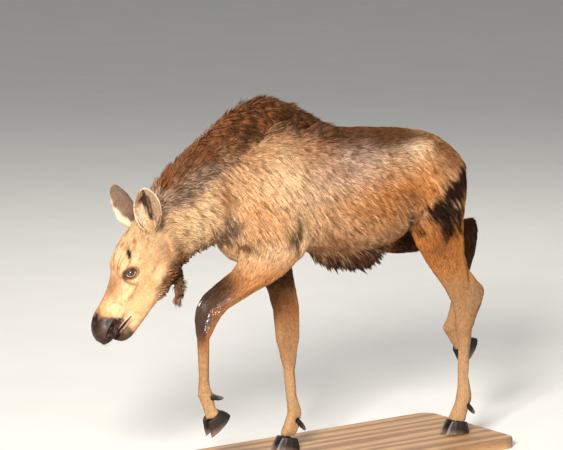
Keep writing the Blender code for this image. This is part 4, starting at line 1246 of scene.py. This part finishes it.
# %% [markdown]
# ## Materials
#
# The markings come from the `coat` attribute, one colour per point. Two effects are shared,
# so each is a node group. `strands` is a noise drawn out down the body: it gives fine streaks
# of light and dark and a height for the bump. `pores` is a fine cell pattern for bare skin,
# horn and wood. The groups only give values; every shader sits in its own material, and
# a value that is the same all over is set on the shader's own socket.

# %% Node helpers and shared groups
MIDDLE = (0.3, 0.7)  # most of a noise's values lie between these


def add_node(tree, kind, inputs=None, **settings):
    """A node with its settings, and with a value or a link for each of the inputs named."""
    made = tree.nodes.new(kind)
    for key, value in settings.items():
        setattr(made, key, value)
    for key, value in (inputs or {}).items():
        if isinstance(value, bpy.types.NodeSocket):
            tree.links.new(value, made.inputs[key])
        else:
            made.inputs[key].default_value = value
    return made


def shared_group(name, outputs):
    """A new group that takes a place and a fineness: its tree, its inputs and its outputs."""
    tree = bpy.data.node_groups.new(name, "ShaderNodeTree")
    for label, kind in (("Vector", "NodeSocketVector"), ("Fineness", "NodeSocketFloat")):
        tree.interface.new_socket(label, in_out="INPUT", socket_type=kind)
    for label in outputs:
        tree.interface.new_socket(label, in_out="OUTPUT", socket_type="NodeSocketFloat")
    return tree, tree.nodes.new("NodeGroupInput").outputs, tree.nodes.new("NodeGroupOutput").inputs


def summed(tree, first, second, operation="ADD"):
    return add_node(tree, "ShaderNodeMath", {0: first, 1: second}, operation=operation).outputs[0]


strands, given, shown = shared_group("strands", ("Streak", "Height"))
drawn = add_node(strands, "ShaderNodeMapping", {"Vector": given["Vector"], "Scale": (0.55, 1.0, 0.30)})
wide_look = {"Vector": drawn.outputs["Vector"], "Scale": given["Fineness"], "Detail": 4.0, "Roughness": 0.65}
wide_noise = add_node(strands, "ShaderNodeTexNoise", wide_look)
finer = summed(strands, given["Fineness"], 3.1, "MULTIPLY")
fine_look = {"Vector": drawn.outputs["Vector"], "Scale": finer, "Detail": 3.0, "Distortion": 0.4}
fine_noise = add_node(strands, "ShaderNodeTexNoise", fine_look)
strands.links.new(wide_noise.outputs["Fac"], shown["Streak"])
strands.links.new(summed(strands, wide_noise.outputs["Fac"], fine_noise.outputs["Fac"]), shown["Height"])

pores, given, shown = shared_group("pores", ("Tone", "Height"))
pore_look = {"Vector": given["Vector"], "Scale": given["Fineness"]}
cells = add_node(pores, "ShaderNodeTexVoronoi", pore_look)
grain = add_node(pores, "ShaderNodeTexNoise", {**pore_look, "Detail": 5.0})
pores.links.new(grain.outputs["Fac"], shown["Tone"])
pores.links.new(summed(pores, cells.outputs["Distance"], grain.outputs["Fac"]), shown["Height"])


def new_material(name, **constants):
    """A material with a Principled shader, whose plain values are set on its own sockets."""
    made = bpy.data.materials.new(name)
    made.use_nodes = True
    tree = made.node_tree
    shader = tree.nodes["Principled BSDF"]
    for socket, value in constants.items():
        shader.inputs[socket.replace("_", " ")].default_value = value
    place = tree.nodes.new("ShaderNodeTexCoord").outputs["Object"]
    return made, tree, shader, place


def attribute_of(tree, name, output):
    return add_node(tree, "ShaderNodeAttribute", attribute_name=name).outputs[output]


def ranged(tree, value, low, high, start=0.0, end=1.0):
    """The value's span from start to end, stretched to go from low to high."""
    inputs = {"Value": value, 1: start, 2: end, 3: low, 4: high}
    return add_node(tree, "ShaderNodeMapRange", inputs).outputs[0]


def shaded(tree, colour, value, dark, light):
    """A colour made darker or lighter by a noise, whose values lie mostly in its middle span."""
    swing = ranged(tree, value, dark, light, *MIDDLE)
    return add_node(tree, "ShaderNodeVectorMath", {0: colour, 1: swing}, operation="MULTIPLY").outputs[0]


def ramped(tree, value, low, high):
    """A colour between two, by a value from 0 to 1."""
    ramp = add_node(tree, "ShaderNodeValToRGB", {"Fac": value})
    for element, colour in zip(ramp.color_ramp.elements, (low, high)):
        element.color = (*colour, 1)
    return ramp.outputs["Color"]


def mixed(tree, factor, first, second, kind="FLOAT"):
    inputs = {"Factor": factor, "A": first, "B": second}
    return add_node(tree, "ShaderNodeMix", inputs, data_type=kind).outputs["Result"]


def textured(tree, group, vector, fineness):
    """What a shared group gives at a place and a fineness."""
    inputs = {"Vector": vector, "Fineness": fineness}
    return add_node(tree, "ShaderNodeGroup", inputs, node_tree=group).outputs


def finished(tree, shader, base, roughness, height, strength, distance):
    """Links a material's colour, roughness and bump to its shader."""
    bump = add_node(tree, "ShaderNodeBump", {"Height": height, "Strength": strength, "Distance": distance})
    looks = {"Base Color": base, "Roughness": roughness, "Normal": bump.outputs["Normal"]}
    for label, socket in looks.items():
        tree.links.new(socket, shader.inputs[label])


def leathery(tree, shader, vector, base, fineness, tones, roughnesses, strength, distance):
    """Finishes a material whose colour, roughness and bump all follow the pores."""
    pore = textured(tree, pores, vector, fineness)
    toned = shaded(tree, base, pore["Tone"], *tones)
    rough = ranged(tree, pore["Tone"], *roughnesses, *MIDDLE)
    finished(tree, shader, toned, rough, pore["Height"], strength, distance)

# %% Fur and skin
fur, tree, shader, place = new_material("fur")
streaks = textured(tree, strands, place, 420.0)
marks, wetness = attribute_of(tree, "coat", "Color"), attribute_of(tree, "wet", "Fac")
bright_hair = ranged(tree, attribute_of(tree, "coat", "Fac"), 0.02, 0.30, 0.02, 0.35)
tree.links.new(mixed(tree, wetness, bright_hair, 0.95), shader.inputs["Specular IOR Level"])
tinted = shaded(tree, marks, streaks["Streak"], 0.82, 1.18)
finished(tree, shader, tinted, ranged(tree, wetness, 0.60, 0.16), streaks["Height"], 0.35, 0.0006)

hide, tree, shader, place = new_material("skin", Specular_IOR_Level=0.25)
streaks, leather = textured(tree, strands, place, 260.0), textured(tree, pores, place, 800.0)
marks, wetness = attribute_of(tree, "coat", "Color"), attribute_of(tree, "wet", "Fac")
bare_mask = attribute_of(tree, "bare", "Fac")
furry = shaded(tree, marks, streaks["Streak"], 0.72, 1.25)
naked = shaded(tree, marks, leather["Tone"], 0.70, 1.25)
rough = mixed(tree, wetness, 0.82, ranged(tree, leather["Tone"], 0.28, 0.50, *MIDDLE))
height = mixed(tree, bare_mask, streaks["Height"], ranged(tree, leather["Height"], 0.0, 0.55))
finished(tree, shader, mixed(tree, bare_mask, furry, naked, "RGBA"), rough, height, 0.55, 0.0016)
skin.data.materials.clear()
skin.data.materials.append(hide)
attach(skin, "root")
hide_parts(*flesh_nodes)

# %% [markdown]
# ## The coat, region by region
#
# Each region has its own wish map, length and stance. On trunk and neck the tufts are about
# three centimetres long and overlap like shingles. The mane's hairs are the longest and
# stand up off the crest. The belly's fringe hangs. On the face and the lower legs the fur is
# so short that only small spikes break the surface, and the bump does the rest.

# %% Trunk and neck
BODY_TUFTS = 46000  # in each quarter of the body
crest_line = np.interp(x, CREST_X, CREST_Z)
mane_wish = fade(z, crest_line - 0.075, crest_line - 0.015) * fade(x, 0.10, 0.02)
mane_wish *= (1 - fade(head_share, 0.3, 0.6)) * (ear_share < 0.1) * fade(x, -0.72, -0.66)
leg_near = share_of(("foreleg", "hindleg"), 160)
torso = np.clip(1 - head_share - fade(leg_near, 0.45, 0.95) - ear_share - bell_share - tail_share, 0, 1)
torso = torso * (1 - 0.75 * mane_wish)
body_length = np.interp(x, (-0.65, -0.45, -0.1, 0.3, 0.7), (0.027, 0.034, 0.032, 0.029, 0.026))
body_length = body_length + 0.014 * fade(z, 0.92, 0.82)
body_length = body_length * (1 - 0.55 * fade(leg_near, 0.05, 0.7))
body_lift = math.radians(19) * (1 - 0.45 * fade(leg_near, 0.1, 0.7))
left_side = fade(y, 0.004, -0.004)
fore_half = fade(x, 0.004, -0.004)
for end, lengthwise in (("fore", fore_half), ("hind", 1 - fore_half)):
    for hand, sideways in (("left", left_side), ("right", 1 - left_side)):
        quarter = torso * (lengthwise * sideways)
        coat(
            f"coat_{end}_{hand}", quarter, BODY_TUFTS, body_length, 0.0023, body_lift,
            stir=0.11, rings=0, flecks=0.18, spread=1.15, hug=True, lock=0.012, pull=0.15,
        )

# %% Mane
mane_lift = math.radians(36) * (0.6 + 0.4 * up_facing[:, 0])
coat(
    "mane", mane_wish, 16000, 0.062, 0.0031, mane_lift,
    stir=0.16, spread=0.75, lock=0.018, pull=0.30, ragged=0.2, pale=0.12,
)

# %% Belly fringe and throat
fringe_wish = fade(z, 0.850, 0.80) * fade(x, -0.18, -0.10)
fringe_wish *= fade(x, 0.46, 0.38) * (1 - leg_share)
jaw_rear = fade(-head_up, 0.170, 0.200) * fade(head_along, 0.03, 0.10) * fade(head_along, 0.27, 0.20)
jaw_rear *= (x < -0.5) * (1 - bell_share) * (1 - leg_near)
throat_wish = fade(-normals[:, 2], 0.2, 0.7) * fade(x, -0.42, -0.50) * (1 - leg_share)
throat_wish *= (head_share < 0.9) * (ear_share < 0.1) * (head_along < 0.25)
throat_wish = np.maximum(0.4 * throat_wish, 1.2 * jaw_rear)
fringe_length = np.where(x < -0.35, 0.028, 0.060)
coat(
    "belly_fringe", fringe_wish + throat_wish, 5600, fringe_length, 0.0046, math.radians(24),
    stir=0.30, rings=2, droop=0.40, spread=0.8, lock=0.021, pull=0.88, ragged=0.55, pale=0.12,
)

# %% Head and ears
cheek_length = 0.0065 + 0.011 * fade(head_along, 0.22, 0.05) + 0.008 * fade(-head_up, 0.15, 0.22)
cheek_length -= 0.0025 * fade(head_along, 0.25, 0.36)
bald = 1 - fade(bare, 0.25, 0.7)
face_wish = head_share * bald * (1 + 0.8 * fade(head_along, 0.3, 0.1))
coat(
    "face_fur", face_wish, 40000, cheek_length, 0.0016, math.radians(17),
    stir=0.12, rings=0, flecks=0.06, lock=0.006,
)
ear_wish = ear_share * (x < HEAD_AHEAD)
coat(
    "ear_fur", ear_wish, 10000, 0.0075, 0.0014, math.radians(20),
    stir=0.15, rings=0, flecks=0.05, lock=0.005,
)
hairy = np.zeros(len(points))
inward = lie.copy()
for name, here in (("ear_left", face[:, 1] > 0), ("ear_right", face[:, 1] <= 0)):
    run, across, opening, forward, axis = ear_place(name, points)
    cup = fade(normals @ opening, 0.2, 0.5) * fade(run, 0.08, 0.18) * fade(run, 0.72, 0.55)
    hairy += ear_wish * here * cup * fade(np.abs(across), 0.35, 0.55) * fade(np.abs(across), 0.98, 0.85)
    to_middle = axis - 0.8 * np.sign(across)[:, None] * forward
    inward = np.where((here & (ear_share > 0))[:, None], to_middle, inward)
inward = unit(inward)
coat(
    "ear_tufts", hairy, 700, 0.022, 0.0016, math.radians(26),
    stir=0.2, rings=1, flow=inward, flecks=0.0, lock=0.008, pull=0.5,
)

# %% Legs
leg_length = 0.0085 + 0.013 * fade(z, 0.62, 0.90)
upper = fade(leg_near, 0.25, 0.6) * (1 - 0.5 * cannon_share)
for region, wish in (("forelegs", x < 0.25), ("hindlegs", x >= 0.25)):
    coat(
        "coat_" + region, upper * wish, 28000, leg_length, 0.0024, math.radians(14),
        stir=0.12, rings=0, flecks=0.14, spread=0.9, lock=0.008,
    )

# %% Bell and tail
hanging = bell_share + tail_share * (x > 0.6)
coat(
    "bell_and_tail", hanging, 1900, 0.038, 0.0032, math.radians(38),
    stir=0.40, rings=2, droop=0.25, spread=0.8, lock=0.014, pull=0.5,
)

# %% [markdown]
# ## Eyes
#
# A moose's eye is nearly all dark brown iris, with a wide, level pupil and a clear front that
# bulges a little. The ball is turned round its own axis with many rings, so that the iris
# can be coloured point by point, and the shader's coat is its wet surface. A thin rim of
# bare skin follows the almond between the lids.

# %% Eyes and lid rims
CORNEA_HEIGHT = 0.0009
IRIS_EDGE = (0.0098, 0.0116)  # the dark ring round the iris comes up between these
PUPIL = (0.0062, 0.0040)  # half its length and half its height
RIM_THICK = 0.0019
glossy, tree, shader, place = new_material(
    "eye", Coat_Weight=1.0, Coat_Roughness=0.03, Specular_IOR_Level=0.5, Coat_IOR=1.38
)
tree.links.new(attribute_of(tree, "coat", "Color"), shader.inputs["Base Color"])
veins = add_node(tree, "ShaderNodeTexNoise", {"Vector": place, "Scale": 700.0, "Detail": 3.0})
tree.links.new(ranged(tree, veins.outputs["Fac"], 0.12, 0.25, *MIDDLE), shader.inputs["Roughness"])

rim_skin, tree, shader, place = new_material(
    "lid_rim", Coat_Weight=0.6, Coat_Roughness=0.12, Specular_IOR_Level=0.5
)
marks = attribute_of(tree, "coat", "Color")
leathery(tree, shader, place, marks, 900.0, (0.75, 1.25), (0.25, 0.45), 0.3, 0.0005)


def grid_faces(rows, columns, closed=False):
    """Quads of a grid stored row by row, whose columns close into a ring; closed closes its rows too."""
    r, c = np.meshgrid(np.arange(rows if closed else rows - 1), np.arange(columns), indexing="ij")
    c, after = c.ravel(), (c.ravel() + 1) % columns
    row, ahead = r.ravel() * columns, (r.ravel() + 1) % rows * columns
    return np.stack([row + c, row + after, ahead + after, ahead + c], axis=1)


def faced_outward(made, hole_sides=0):
    """Fills holes with up to that many sides and turns every face outward."""
    closing = bmesh.new()
    closing.from_mesh(made.data)
    if hole_sides:
        bmesh.ops.holes_fill(closing, edges=closing.edges, sides=hole_sides)
    bmesh.ops.recalc_face_normals(closing, faces=closing.faces)
    for polygon in closing.faces:
        polygon.smooth = True
    closing.to_mesh(made.data)
    closing.free()


def eye_spot(sign, arc, heading, radius):
    """A point round the eyeball, from its pole by an arc along a heading in the head's side view."""
    flat, deep = np.sin(arc / ball_radius), np.cos(arc / ball_radius)
    ray = np.stack([flat * np.cos(heading), deep, flat * np.sin(heading)], axis=-1)
    return from_head(on_side(eye_middle + ray * np.asarray(radius)[..., None], sign))


def eyeball(word, sign):
    rings, turns = 60, 72
    arc = np.linspace(0.0005, math.pi * ball_radius * 0.9, rings)[:, None] * np.ones(turns)
    heading = np.linspace(0, 2 * math.pi, turns, endpoint=False) * np.ones((rings, 1))
    bulge = CORNEA_HEIGHT * np.exp(-((arc / 0.0095) ** 4))
    spots = eye_spot(sign, arc, heading, ball_radius - CORNEA_HEIGHT + bulge).reshape(-1, 3)
    faces = grid_faces(rings, turns)
    made = mesh_object("eyeball_" + word, spots, faces if sign < 0 else faces[:, ::-1])
    faced_outward(made, turns)
    ahead, above = (arc * np.cos(heading)).ravel(), (arc * np.sin(heading)).ravel()
    flat = arc.ravel()
    pupil = np.sqrt((ahead / PUPIL[0]) ** 2 + (above / PUPIL[1]) ** 2)
    fibre = noise(np.stack([heading.ravel() * 4.0, flat * 300, 0 * flat], axis=1), 0.35, 51)
    tint = laid_over(
        np.broadcast_to(srgb(0.23, 0.12, 0.06), spots.shape),
        (srgb(0.42, 0.24, 0.12), 0.55 * fibre),
        (BLACK * 0.4, fade(flat, *IRIS_EDGE)),
        (srgb(0.38, 0.24, 0.20), fade(flat, 0.0135, 0.0175)),
        (srgb(0.02, 0.02, 0.03), fade(pupil, 1.15, 0.95)),
    )
    set_colour(made, "coat", tint)
    made.data.materials.append(glossy)
    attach(made, "root")
    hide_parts("eye_" + word)


def almond_arc(heading):
    """How far the lids' opening reaches from the eye's pole along each heading."""
    arc = np.full(heading.shape, 0.015)
    for _ in range(12):
        arc = arc / almond_at(arc * np.cos(heading), arc * np.sin(heading))
    return arc


def lid_rim(word, sign):
    around, sides = 96, 10
    heading = np.linspace(0, 2 * math.pi, around, endpoint=False)
    turn = np.linspace(0, 2 * math.pi, sides, endpoint=False)
    arcs = almond_arc(heading)[:, None] + RIM_THICK * np.cos(turn)
    radii = ball_radius + 0.0007 + RIM_THICK * 0.8 * np.sin(turn) * np.ones((around, 1))
    spots = eye_spot(sign, arcs, (heading + LID_TILT)[:, None] * np.ones(sides), radii).reshape(-1, 3)
    made = mesh_object("lid_rim_" + word, spots, grid_faces(around, sides, closed=True))
    faced_outward(made)
    below = fade(-np.sin(heading), -0.3, 0.5)[:, None] * np.ones(sides)
    tint = laid_over(np.broadcast_to(DARK * 0.8, spots.shape), (PINK, 0.75 * below.ravel()))
    set_colour(made, "coat", tint)
    made.data.materials.append(rim_skin)
    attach(made, "root")


for word, sign in (("left", 1), ("right", -1)):
    eyeball(word, sign)
    lid_rim(word, sign)
print("eyes and lid rims made")

# %% [markdown]
# ## Lashes and whiskers
#
# Bristles repeat along a path, which is what Geometry Nodes are for. Each root is a point
# that knows which way its bristle grows and how long it is. The tree puts a thin cone on
# every point, turns it to that way, and ends in real mesh with a material.

# %% Bristles with Geometry Nodes
BRISTLE_THICK = 0.0004
LASHES, WHISKERS = 46, 150
lash, tree, shader, place = new_material("bristle", Specular_IOR_Level=0.4)
hairline = add_node(tree, "ShaderNodeTexNoise", {"Vector": place, "Scale": 400.0, "Detail": 2.0})
tree.links.new(ramped(tree, hairline.outputs["Fac"], BLACK, BROWN * 0.6), shader.inputs["Base Color"])
tree.links.new(ranged(tree, hairline.outputs["Fac"], 0.35, 0.6), shader.inputs["Roughness"])


def bristle_tree():
    tree = bpy.data.node_groups.new("bristles", "GeometryNodeTree")
    tree.interface.new_socket("Geometry", in_out="INPUT", socket_type="NodeSocketGeometry")
    thickness = tree.interface.new_socket("Thickness", in_out="INPUT", socket_type="NodeSocketFloat")
    thickness.default_value = BRISTLE_THICK
    material = tree.interface.new_socket("Material", in_out="INPUT", socket_type="NodeSocketMaterial")
    tree.interface.new_socket("Geometry", in_out="OUTPUT", socket_type="NodeSocketGeometry")
    given = tree.nodes.new("NodeGroupInput").outputs
    tapered = {"Vertices": 5, "Side Segments": 3, "Radius Top": 0.08, "Radius Bottom": 1.0, "Depth": 1.0}
    cone = add_node(tree, "GeometryNodeMeshCone", tapered)
    way = add_node(tree, "GeometryNodeInputNamedAttribute", {"Name": "way"}, data_type="FLOAT_VECTOR")
    long = add_node(tree, "GeometryNodeInputNamedAttribute", {"Name": "long"}, data_type="FLOAT")
    heading = {"Vector": way.outputs["Attribute"]}
    turn = add_node(tree, "FunctionNodeAlignRotationToVector", heading, axis="Z")
    shape = {"X": given["Thickness"], "Y": given["Thickness"], "Z": long.outputs["Attribute"]}
    size = add_node(tree, "ShaderNodeCombineXYZ", shape).outputs[0]
    growth = {"Instance": cone.outputs["Mesh"], "Rotation": turn.outputs["Rotation"], "Scale": size}
    grown = add_node(tree, "GeometryNodeInstanceOnPoints", {"Points": given["Geometry"], **growth})
    real = add_node(tree, "GeometryNodeRealizeInstances", {"Geometry": grown.outputs["Instances"]})
    smooth = add_node(tree, "GeometryNodeSetShadeSmooth", {"Geometry": real.outputs["Geometry"]})
    look = {"Geometry": smooth.outputs["Geometry"], "Material": given["Material"]}
    dressed = add_node(tree, "GeometryNodeSetMaterial", look)
    tree.links.new(dressed.outputs["Geometry"], tree.nodes.new("NodeGroupOutput").inputs["Geometry"])
    return tree, thickness.identifier, material.identifier


bristles, thickness_input, material_input = bristle_tree()


def bristle_piece(name, roots, ways, lengths, thickness):
    mesh = bpy.data.meshes.new(name)
    mesh.from_pydata(roots.tolist(), [], [])
    made = placed(name, mesh)
    set_value(made, "way", ways, "FLOAT_VECTOR", "vector")
    set_value(made, "long", lengths)
    grow = made.modifiers.new("grow", "NODES")
    grow.node_group = bristles
    grow[thickness_input] = thickness
    grow[material_input] = lash
    evaluated(made)
    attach(made, "root")
    print(f"{name}: {len(roots)} bristles")


for word, sign in (("left", 1), ("right", -1)):
    heading = np.radians(np.linspace(8, 172, LASHES)) + 0.02 * rng.standard_normal(LASHES)
    arc = almond_arc(heading) + 0.0010
    roots = eye_spot(sign, arc, heading + LID_TILT, np.full(LASHES, ball_radius + 0.0014))
    tips = eye_spot(sign, arc + 0.0022, heading + LID_TILT, np.full(LASHES, ball_radius + 0.0110))
    lengths = 0.0095 * (0.7 + 0.4 * np.sin(heading))
    bristle_piece("lashes_" + word, roots, unit(tips - roots), lengths, 0.00032)

whisker_wish = fade(head_along, 0.38, 0.46) * (head_share > 0.8) * fade(-head_up, 0.03, 0.09)
chosen, weights = scattered(whisker_wish * (np.abs(face[:, 1]) > 0.02), WHISKERS)
roots = at_roots(points, chosen, weights)
outward = at_roots(normals, chosen, weights)
ways = unit(outward + 0.5 * np.array(head_nose) + 0.25 * rng.standard_normal((WHISKERS, 3)))
bristle_piece("whiskers", roots, ways, 0.010 + 0.012 * rng.random(WHISKERS), 0.00030)

# %% [markdown]
# ## Hooves and dewclaws
#
# A claw of horn is rounded, with growth rings that follow the coronet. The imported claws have
# the right size but flat facets, so each is remeshed finely and smoothed, and the rings come
# as low ridges in its shape with finer ones in the bump.

# %% Horn
HORN_GRID = 0.0022
RING_STEP, RING_HEIGHT = 0.0065, 0.00022
horn, tree, shader, place = new_material("horn", Specular_IOR_Level=0.45)
drawn_down = {"Vector": place, "Scale": (0.3, 0.3, 1.0)}
stretched = add_node(tree, "ShaderNodeMapping", drawn_down).outputs["Vector"]
marks = attribute_of(tree, "coat", "Color")
leathery(tree, shader, stretched, marks, 420.0, (0.6, 1.5), (0.38, 0.62), 0.4, 0.0008)

for node in sorted(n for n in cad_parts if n.startswith(("hoof", "dewclaw"))):
    is_hoof = node.startswith("hoof")
    made, _ = cad_copy([node])
    made.name = node.replace("_claw", "") + "_horn"
    made.data.name = made.name
    remeshed(made, HORN_GRID if is_hoof else HORN_GRID * 0.7)
    spots = vertex_array(made)
    spots = smoothed(spots, edge_array(made), np.full(len(spots), 3))
    pastern = node.split("_")[1] + "leg_" + node.split("_")[2] + "_pastern"
    axis = np.array((middle(node) - middle(pastern)).normalized())
    depth_down = spots @ axis
    centred = spots - spots.mean(0)
    outward = unit(centred - np.outer(centred @ axis, axis))
    if is_hoof:
        ring = np.sin(depth_down * 2 * math.pi / RING_STEP) * RING_HEIGHT
        spots = spots + outward * ring[:, None]
    for polygon in made.data.polygons:
        polygon.use_smooth = True
    move_points(made, spots)
    worn = fade(depth_down, np.quantile(depth_down, 0.55), np.quantile(depth_down, 0.98))
    set_colour(made, "coat", laid_over(np.broadcast_to(BLACK, spots.shape), (TAUPE * 0.5, 0.6 * worn)))
    made.data.materials.clear()
    made.data.materials.append(horn)
    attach(made, "root")
    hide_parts(node)
print("horn made")

# %% [markdown]
# ## The display board
#
# The animal is in mid step with two feet off the ground, so it needs a base to stand. The
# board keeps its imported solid; it gets an oiled oak finish: long grain along the board, and
# growth rings as a distorted wave.

# %% Board
oak, tree, shader, place = new_material("oak", Specular_IOR_Level=0.4, Coat_Weight=0.15, Coat_Roughness=0.35)
lengthwise = {"Vector": place, "Scale": (0.10, 1.0, 1.0), "Location": (0.0, 0.7, 0.35)}
along_board = add_node(tree, "ShaderNodeMapping", lengthwise).outputs["Vector"]
growth = {"Vector": along_board, "Scale": 5.0, "Distortion": 5.0, "Detail": 3.0, "Detail Scale": 2.0}
wave = add_node(tree, "ShaderNodeTexWave", growth, wave_type="RINGS", rings_direction="X")
wood = ramped(tree, wave.outputs["Fac"], srgb(0.52, 0.38, 0.25), srgb(0.70, 0.55, 0.39))
leathery(tree, shader, along_board, wood, 260.0, (0.78, 1.12), (0.38, 0.58), 0.25, 0.0006)
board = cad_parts["stand_base"]
for number in range(len(board.data.materials)):
    board.material_slots[number].material = oak

# %% [markdown]
# ## Floor and light
#
# A plain pale floor runs on far behind the animal. The animal stands in low warm sun from
# ahead and to its left, so the key light is a large warm panel there; a broad cool panel
# fills the shadows and a third lights the far side.

# %% Floor and lights
FLOOR_REACH = 70
floor_paint, tree, shader, place = new_material("floor_paint", Roughness=0.9, Specular_IOR_Level=0.2)
grit = add_node(tree, "ShaderNodeTexNoise", {"Vector": place, "Scale": 3.0, "Detail": 4.0})
pale_grey = ramped(tree, grit.outputs["Fac"], (0.60, 0.60, 0.585), (0.66, 0.66, 0.645))
tree.links.new(pale_grey, shader.inputs["Base Color"])
square = np.array([(-1, -1, 0), (1, -1, 0), (1, 1, 0), (-1, 1, 0)], float)
floor = mesh_object("floor", square * FLOOR_REACH, np.array([(0, 1, 2, 3)]))
floor.data.materials.append(floor_paint)


def panel(name, azimuth, rise, away, size, power, colour_of_light):
    """An area light that looks at the point the camera aims at."""
    lamp = bpy.data.lights.new(name, "AREA")
    lamp.shape = "SQUARE"
    lamp.size = size
    lamp.energy = power
    lamp.color = colour_of_light
    made = placed(name, lamp)
    made.location = aim + away * toward_camera(math.radians(azimuth), math.radians(rise))
    made.rotation_euler = (aim - made.location).to_track_quat("-Z", "Y").to_euler()


panel("key", -48, 25, 9.0, 2.2, 1950, (1.0, 0.94, 0.86))
panel("fill", 10, 25, 6.0, 5.0, 60, (0.98, 0.98, 1.0))
panel("back", 140, 45, 6.0, 3.0, 200, (1.0, 0.96, 0.90))
world = bpy.data.worlds.new("studio")
world.use_nodes = True
world.node_tree.nodes["Background"].inputs["Color"].default_value = (0.92, 0.92, 0.92, 1)
world.node_tree.nodes["Background"].inputs["Strength"].default_value = 0.36
bpy.context.scene.world = world
bpy.context.scene.view_settings.view_transform = "Standard"
